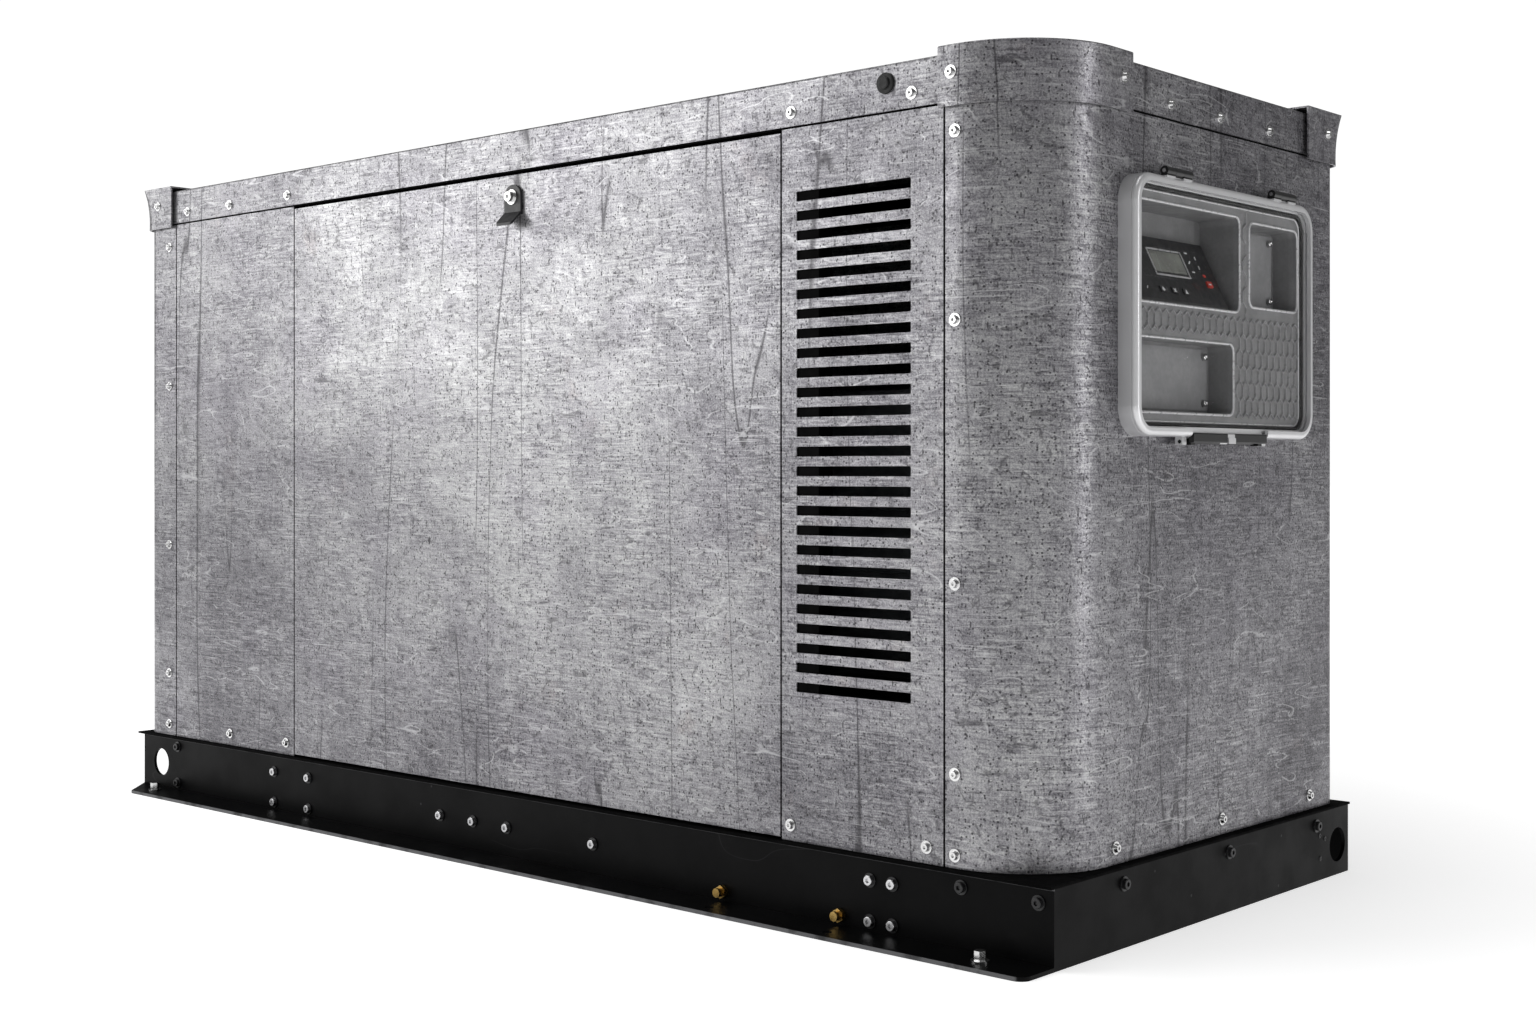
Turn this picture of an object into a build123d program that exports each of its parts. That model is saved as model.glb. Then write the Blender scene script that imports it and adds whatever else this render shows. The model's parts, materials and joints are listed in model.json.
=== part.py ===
from build123d import *
import math
import os

os.makedirs("parts", exist_ok=True)

# A liquid-cooled standby generator set on a skid base, inside a sheet-metal enclosure.
# X runs along the long front side towards the control end, the front faces -Y and Z is up.
# The origin is on the floor under the middle of the base. Every size is in millimetres.

# Skid base
base_length = 1950.0
base_depth = 750.0
rail_height = 94.0
rail_wall = 5.0
anchor_flange = 62.0
anchor_corner_radius = 15.0
inner_flange = 45.0
deck_thickness = 3.0
deck_side_overhang = 6.0
deck_end_overhang = 11.0
upstand_height = 40.0
conduit_hole_length = 120.0
conduit_hole_width = 300.0
lift_hole_radius = 24.0
lift_hole_from_end = 57.0
lift_hole_height = 48.0
end_hole_from_rear = 34.0
tie_hole_radius = 6.0
tie_hole_xs = (474.0, 673.0)
tie_hole_from_edge = 21.0

# Enclosure
end_inset = 12.0
front_inset = 3.0
rear_inset = 15.0
sheet = 2.0
floor_gap = 1.0
panel_gap = 3.0
panel_height = 906.0
band_height = 58.0
roof_edge_radius = 4.0
corner_radius = 130.0
edge_radius = 22.0
post_leg = 88.0
left_panel_width = 357.0
louvre_panel_width = 256.0
corner_leg = 143.5
rear_return = 60.0

# Louvres
louvre_count = 26
louvre_width = 183.0
louvre_height = 12.5
louvre_pitch = 24.9
louvre_top_margin = 81.0
louvre_from_seam = 24.5
louvre_corner = 1.5
discharge_width = 420.0

# Roof corner caps
cap_stand_off = 8.0
cap_wall = 2.5
cap_drop = 7.0
cap_rise = 8.0
large_cap_front_leg = 149.0
large_cap_end_leg = 174.0
small_cap_front_leg = 85.0
small_cap_end_leg = 99.0
small_cap_top_radius = 6.0

# Inner frame
post_width = 60.0
post_depth = 27.0
tube_wall = 2.5
weld_gap = 1.0
ring_drop = 20.0
ring_rise = 44.0
stop_flange = 25.0
stop_thickness = 3.0
gasket_thickness = 3.7
gasket_clearance = 0.3

# Access door
door_bottom_gap = 3.0
door_top_gap = 4.0
door_return = 22.0
insulation_thickness = 14.0
insulation_margin = 40.0
insulation_drop = 110.0

# Door latch
latch_off_centre = 18.0
latch_below_top = 33.0
latch_width = 36.0
latch_height = 44.0
latch_plate = 4.0
latch_lip = 17.0
latch_shaft_radius = 8.0
cam_length = 26.0
cam_width = 22.0
latch_head_height = 8.0

# Fasteners
screw_radius = 3.0
screw_hole_play = 0.2
screw_head_radius = 5.6
screw_head_height = 4.2
screw_washer_radius = 8.0
screw_washer_height = 1.4
screw_grip = 18.0
socket_radius = 2.3
socket_depth = 2.4
bolt_radius = 4.0
bolt_head_radius = 6.4
bolt_head_height = 4.6
bolt_washer_radius = 9.0
bolt_washer_height = 1.6
anchor_bolt_radius = 4.0
anchor_head_radius = 7.4
anchor_head_height = 11.0
anchor_washer_radius = 11.0
anchor_washer_height = 2.0
bottom_row = 20.0
top_row = 19.0

# Control window
window_centre_y = 10.0
window_centre_z = 769.5
window_width = 460.0
window_height = 317.0
window_radius = 35.0
collar_height = 18.0
collar_wall = 12.0
plate_set_back = 6.0
plate_thickness = 3.0
plate_clearance = 0.5
cover_thickness = 8.0
cover_gap = 0.5
cover_rim = 10.0
pane_thickness = 3.0
pane_bearing = 4.0
cover_edge_radius = 6.0
pocket_wall = 2.5
pocket_radius = 9.0
controller_pocket_depth = 56.0
side_pocket_depth = 34.0
pocket_cover_thickness = 2.0

# Controller
controller_width = 218.0
controller_face_drop = 40.0
controller_face_rise = 83.0
display_width = 76.0
display_height = 30.0
display_thickness = 1.6
key_width = 13.0
key_height = 9.0
key_body = 4.0
key_proud = 1.6
key_travel = 1.0
key_clearance = 0.3

# Cover hinges and window latch
hinge_radius = 5.5
hinge_pin_radius = 2.5
hinge_running_clearance = 0.05
hinge_knuckle = 20.0
hinge_side_clearance = 0.4
hinge_height = 6.5
hinge_from_centre = (-130.0, 145.0)
latch_bar_length = 190.0
latch_bar_height = 12.0
latch_bar_overlap = 5.0
latch_bar_thickness = 7.0

# Engine and alternator line
shaft_height = 385.0
block_left = -300.0
block_right = 260.0
block_half_width = 112.0
block_below_shaft = 95.0
block_above_shaft = 175.0
crankcase_radius = 80.0
journal_radius = 28.0
journal_clearance = 0.05
web_radius = 66.0
head_height = 85.0
valve_cover_height = 60.0
oil_pan_depth = 105.0
bell_length = 90.0
bell_radius = 195.0
bell_wall = 12.0
flywheel_radius = 165.0
flywheel_thickness = 30.0
alternator_length = 380.0
alternator_radius = 185.0
alternator_wall = 30.0
air_gap = 2.0
mount_height = 60.0

# Belt drive and cooling
crank_pulley_radius = 75.0
fan_pulley_radius = 60.0
pulley_width = 26.0
pulley_from_block = 20.0
fan_height = 575.0
fan_radius = 215.0
fan_blades = 6
fan_hub_radius = 42.0
belt_thickness = 6.0
belt_clearance = 0.3
radiator_x = -640.0
radiator_thickness = 62.0
radiator_width = 520.0
radiator_height = 780.0
muffler_x = -810.0
muffler_radius = 85.0
muffler_length = 480.0
muffler_height = 590.0
exhaust_pipe_radius = 24.0
exhaust_wall = 2.0
air_cleaner_radius = 75.0
air_cleaner_length = 250.0
battery_size = (240.0, 140.0, 195.0)
battery_from_front = 30.0
battery_from_control_end = 453.0

# Places that follow from the sizes above
screw_hole_radius = screw_radius + screw_hole_play
half_length = base_length / 2
half_depth = base_depth / 2
left_x = -half_length + end_inset
right_x = half_length - end_inset
front_y = -half_depth + front_inset
rear_y = half_depth - rear_inset
mid_y = (front_y + rear_y) / 2
deck_top = rail_height + deck_thickness
panel_bottom = deck_top + floor_gap
panel_top = panel_bottom + panel_height
band_bottom = panel_top + panel_gap
roof_top = band_bottom + band_height
ring_bottom = panel_top - ring_drop
ring_top = panel_top + ring_rise
left_panel_x = (left_x + post_leg + panel_gap, left_x + post_leg + panel_gap + left_panel_width)
corner_x = right_x - corner_leg
louvre_panel_x = (corner_x - panel_gap - louvre_panel_width, corner_x - panel_gap)
door_x = (left_panel_x[1] + panel_gap, louvre_panel_x[0] - panel_gap)
door_z = (panel_bottom + door_bottom_gap, panel_top - door_top_gap)
anchor_edge_y = half_depth + anchor_flange
post_screw_zs = (
    panel_bottom + bottom_row,
    panel_bottom + 0.122 * panel_height,
    panel_bottom + 0.374 * panel_height,
    panel_bottom + 0.685 * panel_height,
    panel_top - 2 * top_row,
)
corner_screw_zs = (
    panel_bottom + bottom_row - 4.5,
    panel_bottom + 0.123 * panel_height,
    panel_bottom + 0.372 * panel_height,
    panel_bottom + 0.717 * panel_height,
    panel_top - 2 * top_row + 5.5,
)


def box(x_from, x_to, y_from, y_to, z_from, z_to, mode=Mode.ADD):
    """A block between two corners."""
    centre = ((x_from + x_to) / 2, (y_from + y_to) / 2, (z_from + z_to) / 2)
    with Locations(centre):
        Box(x_to - x_from, y_to - y_from, z_to - z_from, mode=mode)


def rod(start, direction, radius, length, mode=Mode.ADD):
    """A round bar from a point along a direction."""
    with BuildSketch(Plane(origin=start, z_dir=direction)) as section:
        Circle(radius)
    extrude(section.sketch, amount=length, mode=mode)


def footprint(grow):
    """The enclosure's outline seen from above, grown or shrunk by a distance."""
    sharp_corner = (right_x + grow, front_y - grow)
    with BuildSketch() as outline:
        with Locations(((left_x + right_x) / 2, mid_y)):
            Rectangle(right_x - left_x + 2 * grow, rear_y - front_y + 2 * grow)
        small_radius = max(edge_radius + grow, sheet)
        fillet(outline.vertices().sort_by_distance(sharp_corner)[1:], small_radius)
        fillet(outline.vertices().sort_by_distance(sharp_corner)[0], corner_radius + grow)
    return outline.sketch


def wrap(x_from, x_to, y_from, y_to, bottom, top, outer=0.0, inner=-sheet, mode=Mode.ADD):
    """The stretch of the enclosure's wall that lies inside a rectangle seen from above."""
    with BuildSketch(Plane.XY.offset(bottom)) as wall:
        add(footprint(outer))
        add(footprint(inner), mode=Mode.SUBTRACT)
        with Locations(((x_from + x_to) / 2, (y_from + y_to) / 2)):
            Rectangle(x_to - x_from, y_to - y_from, mode=Mode.INTERSECT)
    extrude(wall.sketch, amount=top - bottom, mode=mode)


def side_sheet(face_y, x_from, x_to, z_from, z_to):
    """A flat sheet on the front or rear, with its outer face at face_y."""
    inner_y = face_y + sheet if face_y < mid_y else face_y - sheet
    box(x_from, x_to, min(face_y, inner_y), max(face_y, inner_y), z_from, z_to)


# Fastener places: a point on the outer face and the outward direction
front = (0, -1, 0)
rear = (0, 1, 0)
control_end = (1, 0, 0)
blind_end = (-1, 0, 0)


def panel_screw_places():
    """Every screw of the side panels and posts."""
    places = []
    post_x = left_x + post_leg - panel_gap - 17.0
    corner_screw_x = corner_x + 14.5
    bottom_xs = (
        left_panel_x[0] + 170.0,
        left_panel_x[1] - 21.0,
        louvre_panel_x[0] + 15.0,
        louvre_panel_x[1] - 24.5,
    )
    for face_y, outward in ((front_y, front), (rear_y, rear)):
        for z in post_screw_zs:
            places.append(((post_x, face_y, z), outward))
        for x in bottom_xs:
            places.append(((x, face_y, panel_bottom + bottom_row), outward))
    for z in corner_screw_zs:
        places.append(((corner_screw_x, front_y, z), front))
        places.append(((right_x - rear_return + 12.0, rear_y, z), rear))
    for z in post_screw_zs:
        places.append(((door_x[0] + 10.0, rear_y, z), rear))
        places.append(((door_x[1] - 10.0, rear_y, z), rear))
    for y in (front_y + 146.0, mid_y + 38.0, rear_y - 82.0):
        places.append(((right_x, y, panel_bottom + bottom_row), control_end))
    for y in (front_y + post_leg + 30.0, mid_y, rear_y - post_leg - 30.0):
        places.append(((left_x, y, panel_bottom + bottom_row), blind_end))
        places.append(((left_x, y, panel_top - top_row / 2), blind_end))
    return places


def band_screw_places():
    """Every screw of the roof band that no cap covers."""
    places = []
    z = band_bottom + 17.5
    front_xs = (
        left_panel_x[0] + 36.0,
        left_panel_x[0] + 168.0,
        left_panel_x[1] - 17.0,
        louvre_panel_x[0] + 16.0,
        louvre_panel_x[1] - 47.0,
    )
    for x in front_xs:
        places.append(((x, front_y, z), front))
        places.append(((x, rear_y, z), rear))
    for y in (front_y + 275.0, front_y + 399.0, front_y + 533.0):
        places.append(((right_x, y, z), control_end))
    for y in (mid_y - 130.0, mid_y, mid_y + 130.0):
        places.append(((left_x, y, z), blind_end))
    return places


def cap_screw_places():
    """The screws that hold the roof corner caps, on the band behind each cap."""
    z = band_bottom + 33.0
    large = [((corner_x + 14.0, front_y, z), front), ((right_x, front_y + 153.0, z), control_end)]
    small = []
    for face_y, outward in ((front_y, front), (rear_y, rear)):
        small.append(((left_x + 43.0, face_y, z), outward))
    small.append(((left_x, front_y + 41.0, z), blind_end))
    small.append(((left_x, rear_y - 41.0, z), blind_end))
    small.append(((right_x, rear_y - 41.0, z), control_end))
    small.append(((right_x - 43.0, rear_y, z), rear))
    return large, small


def pierce(places, radius=screw_hole_radius, depth=60.0):
    """Drill straight inwards at each fastener place, all the holes of one face at a time."""
    for outward in (front, rear, control_end, blind_end):
        points = [Vector(*point) for point, direction in places if direction == outward]
        if points:
            clear = Vector(*outward) * (cap_stand_off + 1.0)
            face = Plane(origin=points[0] + clear, z_dir=outward)
            flat = [face.to_local_coords(point) for point in points]
            with BuildSketch(face) as holes:
                with Locations(*[(point.X, point.Y) for point in flat]):
                    Circle(radius)
            extrude(holes.sketch, amount=-depth, mode=Mode.SUBTRACT)


def seats(places, lift=0.0):
    """A plane at each fastener place, with its normal pointing out of the enclosure."""
    return [Plane(origin=Vector(*p) + Vector(*out) * lift, z_dir=out) for p, out in places]


large_cap_screws, small_cap_screws = cap_screw_places()
all_panel_screws = panel_screw_places()
all_band_screws = band_screw_places()

# Cross members of the base: centre and width along X
radiator_member = (-517.0, 125.0)
engine_member = (-50.0, 176.0)
brace_member = (211.0, 50.0)
alternator_member = (725.0, 70.0)
members = (radiator_member, engine_member, brace_member, alternator_member)
upper_bolt_row = 67.0
lower_bolt_row = 16.5
middle_bolt_row = 47.0
bright_bolt_rows = (
    (radiator_member[0] - 48.5, upper_bolt_row),
    (radiator_member[0] + 48.5, upper_bolt_row),
    (radiator_member[0] - 48.5, lower_bolt_row),
    (radiator_member[0] + 48.5, lower_bolt_row),
    (engine_member[0] - 77.0, middle_bolt_row),
    (engine_member[0], middle_bolt_row),
    (engine_member[0] + 77.0, middle_bolt_row),
    (brace_member[0], middle_bolt_row),
    (alternator_member[0] - 17.5, upper_bolt_row),
    (alternator_member[0] + 17.5, upper_bolt_row),
    (alternator_member[0] - 17.5, lower_bolt_row),
    (alternator_member[0] + 17.5, lower_bolt_row),
)
black_bolt_rows = (
    (-half_length + 112.0, 80.0),
    (-half_length + 112.0, lower_bolt_row),
    (half_length - 130.0, 78.0),
    (half_length - 21.0, 76.0),
)
bright_bolts = []
black_bolts = []
for face_y, outward in ((-half_depth, front), (half_depth, rear)):
    for x, z in bright_bolt_rows:
        bright_bolts.append(((x, face_y, z), outward))
    for x, z in black_bolt_rows:
        black_bolts.append(((x, face_y, z), outward))
for y in (front_y + 146.0, mid_y + 36.0, rear_y - 84.0):
    black_bolts.append(((half_length, y, 77.0), control_end))
anchor_bolt_xs = (-half_length + 89.0, half_length - 80.0)
anchor_bolt_y = half_depth + 32.0
drain_xs = (460.0, 660.0)
drain_height = 17.0
drain_radius = 6.0
plug_place = (louvre_panel_x[1] - 86.5, front_y, band_bottom + 34.0)
plug_radius = 13.0
plug_stem_radius = 8.8


def side_rail(side):
    """A base rail: a web, an outward anchor flange with one mitred end and an inward top flange."""
    web_y = side * half_depth
    web_in = web_y - side * rail_wall
    edge = side * anchor_edge_y
    right_end = half_length - rail_wall
    left_mitre = anchor_flange if side < 0 else 0.0
    right_mitre = anchor_flange - left_mitre
    mitre_corner = (side * (half_length - anchor_flange), edge)
    square_corner = (-side * half_length, edge)
    box(-half_length, right_end, min(web_y, web_in), max(web_y, web_in), 0, rail_height)
    with BuildSketch() as flange:
        with BuildLine():
            Polyline(
                (-half_length, web_in),
                (-half_length, web_y),
                (-half_length + left_mitre, edge),
                (half_length - right_mitre, edge),
                (half_length, web_y),
                (right_end, web_y),
                (right_end, web_in),
                close=True,
            )
        make_face()
        fillet(flange.vertices().sort_by_distance(square_corner)[0], anchor_corner_radius)
        fillet(flange.vertices().sort_by_distance(mitre_corner)[0], rail_wall)
        with Locations(*[(x, edge - side * tie_hole_from_edge) for x in tie_hole_xs]):
            Circle(tie_hole_radius, mode=Mode.SUBTRACT)
        with Locations(*[(x, side * anchor_bolt_y) for x in anchor_bolt_xs]):
            Circle(anchor_bolt_radius + 0.5, mode=Mode.SUBTRACT)
    extrude(flange.sketch, amount=rail_wall)
    top_in = web_y - side * inner_flange
    box(
        -half_length,
        right_end,
        min(web_y, top_in),
        max(web_y, top_in),
        rail_height - rail_wall,
        rail_height,
    )
    rod(
        (-half_length + lift_hole_from_end, web_y + side, lift_hole_height),
        (0, -side, 0),
        lift_hole_radius,
        rail_wall + 2,
        mode=Mode.SUBTRACT,
    )
    pierce([bolt for bolt in bright_bolts + black_bolts if bolt[0][1] == web_y], bolt_radius, 30.0)
    for x in drain_xs:
        rod((x, web_y + side, drain_height), (0, -side, 0), drain_radius, rail_wall + 2, mode=Mode.SUBTRACT)


with BuildPart() as front_rail:
    side_rail(-1)
front_rail.part.label = "front_rail"
export_step(front_rail.part, "parts/front_rail.step")

with BuildPart() as rear_rail:
    side_rail(1)
rear_rail.part.label = "rear_rail"
export_step(rear_rail.part, "parts/rear_rail.step")

# The end plate closes the control end of the base
with BuildPart() as end_plate:
    box(half_length - rail_wall, half_length, -half_depth, half_depth, 0, rail_height)
    box(
        half_length - inner_flange,
        half_length - rail_wall,
        -half_depth + inner_flange,
        half_depth - inner_flange,
        rail_height - rail_wall,
        rail_height,
    )
    end_hole = (half_length + 1, half_depth - end_hole_from_rear, lift_hole_height - 6)
    rod(end_hole, (-1, 0, 0), lift_hole_radius, rail_wall + 2, mode=Mode.SUBTRACT)
    pierce([bolt for bolt in black_bolts if bolt[1] == control_end], bolt_radius, 30.0)
end_plate.part.label = "end_plate"
export_step(end_plate.part, "parts/end_plate.step")

# Four channels tie the rails together and carry the radiator, engine and alternator
with BuildPart() as cross_members:
    for centre_x, width in members:
        inner_y = half_depth - rail_wall
        box(centre_x - width / 2, centre_x + width / 2, -inner_y, inner_y, 0, rail_height - rail_wall)
        box(
            centre_x - width / 2 + rail_wall,
            centre_x + width / 2 - rail_wall,
            -inner_y + rail_wall,
            inner_y - rail_wall,
            rail_wall,
            rail_height - 2 * rail_wall,
            mode=Mode.SUBTRACT,
        )
    pierce(bright_bolts, bolt_radius, 30.0)
cross_members.part.label = "cross_members"
export_step(cross_members.part, "parts/cross_members.step")


def post_places():
    """Centre X and the face that each inner post stands against."""
    places = [(left_panel_x[0] - panel_gap / 2, front_y), (corner_x - panel_gap / 2, front_y)]
    for x in (left_panel_x[0], left_panel_x[1], louvre_panel_x[0], right_x - rear_return):
        places.append((x - panel_gap / 2, rear_y))
    return places


def post_blocks(shrink=0.0, top=ring_bottom, mode=Mode.ADD):
    """The inner posts as blocks, made smaller all round by shrink."""
    for x, face_y in post_places():
        outer_y = face_y + sheet if face_y < mid_y else face_y - sheet
        inner_y = outer_y + post_depth if face_y < mid_y else outer_y - post_depth
        box(
            x - post_width / 2 + shrink,
            x + post_width / 2 - shrink,
            min(outer_y, inner_y) + shrink,
            max(outer_y, inner_y) - shrink,
            deck_top,
            top,
            mode=mode,
        )


jamb_inner_y = front_y + sheet + post_depth
jamb_xs = (
    (left_panel_x[1] - post_width, left_panel_x[1]),
    (louvre_panel_x[0], louvre_panel_x[0] + post_width),
)


def jambs(shrink=0.0, mode=Mode.ADD):
    """The door frame's two side tubes, made smaller all round by shrink."""
    for x_from, x_to in jamb_xs:
        box(
            x_from + shrink,
            x_to - shrink,
            front_y + sheet + shrink,
            jamb_inner_y - shrink,
            deck_top,
            ring_bottom,
            mode=mode,
        )


# Deck plate with an upstand that the lower panel screws bite into
with BuildPart() as deck_plate:
    box(
        -half_length - deck_end_overhang,
        half_length,
        -half_depth - deck_side_overhang,
        half_depth + deck_side_overhang,
        rail_height,
        deck_top,
    )
    wrap(
        -base_length,
        base_length,
        -base_depth,
        base_depth,
        deck_top + weld_gap,
        deck_top + upstand_height,
        outer=-sheet,
        inner=-sheet - deck_thickness,
    )
    post_blocks(mode=Mode.SUBTRACT)
    jambs(mode=Mode.SUBTRACT)
    box(door_x[0] - panel_gap, door_x[1] + panel_gap, front_y, mid_y, deck_top, panel_top, mode=Mode.SUBTRACT)
    conduit_x = alternator_member[0] + 110.0
    box(
        conduit_x - conduit_hole_length / 2,
        conduit_x + conduit_hole_length / 2,
        mid_y - conduit_hole_width / 2,
        mid_y + conduit_hole_width / 2,
        rail_height,
        deck_top,
        mode=Mode.SUBTRACT,
    )
    pierce(all_panel_screws)
deck_plate.part.label = "deck_plate"
export_step(deck_plate.part, "parts/deck_plate.step")

# Inner posts: square tubes behind the panel seams
with BuildPart() as frame_posts:
    post_blocks()
    post_blocks(shrink=tube_wall, mode=Mode.SUBTRACT)
    wrap(
        -base_length,
        base_length,
        -base_depth,
        base_depth,
        deck_top,
        ring_bottom,
        outer=sheet,
        mode=Mode.SUBTRACT,
    )
    pierce(all_panel_screws)
frame_posts.part.label = "frame_posts"
export_step(frame_posts.part, "parts/frame_posts.step")

# Roof ring: tubes under the roof band, with a shallower bar over the door
with BuildPart() as roof_ring:
    wrap(
        -base_length,
        base_length,
        -base_depth,
        base_depth,
        ring_bottom,
        ring_top,
        outer=-sheet,
        inner=-sheet - post_depth,
    )
    wrap(
        -base_length,
        base_length,
        -base_depth,
        base_depth,
        ring_bottom + tube_wall,
        ring_top - tube_wall,
        outer=-sheet - tube_wall,
        inner=-sheet - post_depth + tube_wall,
        mode=Mode.SUBTRACT,
    )
    box(
        door_x[0] - panel_gap,
        door_x[1] + panel_gap,
        front_y,
        jamb_inner_y + 1.0,
        ring_bottom,
        panel_top + 1.0,
        mode=Mode.SUBTRACT,
    )
    for x in (door_x[0] - panel_gap, door_x[1] + panel_gap - weld_gap):
        box(x, x + weld_gap, front_y, jamb_inner_y + 1.0, ring_bottom, ring_top, mode=Mode.SUBTRACT)
    pierce(all_panel_screws + all_band_screws + large_cap_screws + small_cap_screws, depth=24.0)
    pierce([(plug_place, front)], plug_stem_radius + 0.2, 24.0)
roof_ring.part.label = "roof_ring"
export_step(roof_ring.part, "parts/roof_ring.step")

# Door frame: two side tubes and a stop flange all round the opening
stop_y = front_y + door_return + gasket_clearance + gasket_thickness
opening_x = (left_panel_x[1] + stop_flange, louvre_panel_x[0] - stop_flange)
opening_z = (deck_top + stop_flange, panel_top - stop_flange)
with BuildPart() as door_frame:
    jambs()
    jambs(shrink=tube_wall, mode=Mode.SUBTRACT)
    box(left_panel_x[1], louvre_panel_x[0], stop_y, stop_y + stop_thickness, deck_top, panel_top)
    box(
        opening_x[0],
        opening_x[1],
        stop_y,
        stop_y + stop_thickness,
        opening_z[0],
        opening_z[1],
        mode=Mode.SUBTRACT,
    )
    pierce(all_panel_screws, depth=24.0)
door_frame.part.label = "door_frame"
export_step(door_frame.part, "parts/door_frame.step")

with BuildPart() as door_gasket:
    box(door_x[0], door_x[1], stop_y - gasket_thickness, stop_y, door_z[0], door_z[1])
    box(
        opening_x[0],
        opening_x[1],
        stop_y - gasket_thickness,
        stop_y,
        opening_z[0],
        opening_z[1],
        mode=Mode.SUBTRACT,
    )
door_gasket.part.label = "door_gasket"
export_step(door_gasket.part, "parts/door_gasket.step")

# Corner posts: bent sheets that wrap the two corners of the blind end
with BuildPart() as corner_posts:
    wrap(left_x - 1, left_x + post_leg, front_y - 1, front_y + post_leg, panel_bottom, panel_top)
    wrap(left_x - 1, left_x + post_leg, rear_y - post_leg, rear_y + 1, panel_bottom, panel_top)
    pierce(all_panel_screws)
corner_posts.part.label = "corner_posts"
export_step(corner_posts.part, "parts/corner_posts.step")


def slots(plane, count, width, top_z, along):
    """A column of level slots cut through a sheet that lies on the plane."""
    centre_z = top_z - louvre_height / 2 - (count - 1) * louvre_pitch / 2
    with BuildSketch(plane) as grid:
        with Locations((along, centre_z)):
            with GridLocations(1, louvre_pitch, 1, count):
                RectangleRounded(width, louvre_height, louvre_corner)
    extrude(grid.sketch, amount=3 * sheet, both=True, mode=Mode.SUBTRACT)


louvre_centre_x = louvre_panel_x[0] + louvre_from_seam + louvre_width / 2
louvre_top = panel_top - louvre_top_margin

with BuildPart() as left_end_panel:
    end_ys = (front_y + post_leg + panel_gap, rear_y - post_leg - panel_gap)
    box(left_x, left_x + sheet, end_ys[0], end_ys[1], panel_bottom, panel_top)
    slots(Plane.YZ.offset(left_x), louvre_count, discharge_width, louvre_top, mid_y)
    pierce(all_panel_screws)
left_end_panel.part.label = "left_end_panel"
export_step(left_end_panel.part, "parts/left_end_panel.step")

with BuildPart() as front_left_panel:
    side_sheet(front_y, left_panel_x[0], left_panel_x[1], panel_bottom, panel_top)
    pierce(all_panel_screws)
front_left_panel.part.label = "front_left_panel"
export_step(front_left_panel.part, "parts/front_left_panel.step")

with BuildPart() as front_louvre_panel:
    side_sheet(front_y, louvre_panel_x[0], louvre_panel_x[1], panel_bottom, panel_top)
    slots(Plane.XZ.offset(-front_y), louvre_count, louvre_width, louvre_top, louvre_centre_x)
    pierce(all_panel_screws)
front_louvre_panel.part.label = "front_louvre_panel"
export_step(front_louvre_panel.part, "parts/front_louvre_panel.step")

with BuildPart() as rear_panel:
    side_sheet(rear_y, left_panel_x[0], door_x[1], panel_bottom, panel_top)
    pierce(all_panel_screws)
rear_panel.part.label = "rear_panel"
export_step(rear_panel.part, "parts/rear_panel.step")

with BuildPart() as rear_louvre_panel:
    side_sheet(rear_y, louvre_panel_x[0], right_x - rear_return - panel_gap, panel_bottom, panel_top)
    slots(Plane.XZ.offset(-rear_y), louvre_count, louvre_width, louvre_top, louvre_centre_x)
    pierce(all_panel_screws)
rear_louvre_panel.part.label = "rear_louvre_panel"
export_step(rear_louvre_panel.part, "parts/rear_louvre_panel.step")


def window_outline(plane, grow, radius):
    """The control window's rounded outline on a plane across X."""
    with BuildSketch(plane) as outline:
        with Locations((window_centre_y, window_centre_z)):
            RectangleRounded(window_width + 2 * grow, window_height + 2 * grow, radius)
    return outline.sketch


# The large corner panel: one sheet round the control end's front corner, the end and the rear edge
with BuildPart() as corner_panel:
    wrap(corner_x, right_x + 1, front_y - 1, mid_y, panel_bottom, panel_top)
    wrap(right_x - rear_return, right_x + 1, mid_y, rear_y + 1, panel_bottom, panel_top)
    cut_out = window_outline(Plane.YZ.offset(right_x), -collar_wall - 3.0, window_radius - collar_wall)
    extrude(cut_out, amount=3 * sheet, both=True, mode=Mode.SUBTRACT)
    pierce(all_panel_screws)
corner_panel.part.label = "corner_panel"
export_step(corner_panel.part, "parts/corner_panel.step")

# Roof pan with its folded bands
with BuildPart() as roof_panel:
    with BuildSketch(Plane.XY.offset(band_bottom)):
        add(footprint(0))
    extrude(amount=band_height)
    fillet(roof_panel.faces().sort_by(Axis.Z)[-1].edges(), roof_edge_radius)
    with BuildSketch(Plane.XY.offset(band_bottom)):
        add(footprint(-sheet))
    extrude(amount=band_height - sheet, mode=Mode.SUBTRACT)
    pierce(all_band_screws + large_cap_screws + small_cap_screws, depth=24.0)
    pierce([(plug_place, front)], plug_stem_radius + 0.2, 24.0)
roof_panel.part.label = "roof_panel"
export_step(roof_panel.part, "parts/roof_panel.step")

# A rubber plug in the band
with BuildPart() as roof_plug:
    plug_face = Vector(*plug_place)
    rod(plug_face, front, plug_radius, 4.0)
    fillet(roof_plug.faces().sort_by(Axis.Y)[0].edges(), 2.0)
    rod(plug_face + Vector(0, -4.0, 0), front, 0.6 * plug_radius, 3.0)
    fillet(roof_plug.faces().sort_by(Axis.Y)[0].edges(), 1.5)
    rod(plug_face, rear, plug_stem_radius, 8.0)
roof_plug.part.label = "roof_plug"
export_step(roof_plug.part, "parts/roof_plug.step")

cap_bottom = band_bottom - cap_drop
cap_top = roof_top + cap_rise


def cap_spacers(places, mode=Mode.ADD):
    """Round spacers between a cap and the band behind it, with the screw's hole."""
    for point, outward in places:
        rod(point, outward, 2 * screw_hole_radius, cap_stand_off - cap_wall, mode=mode)


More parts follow.
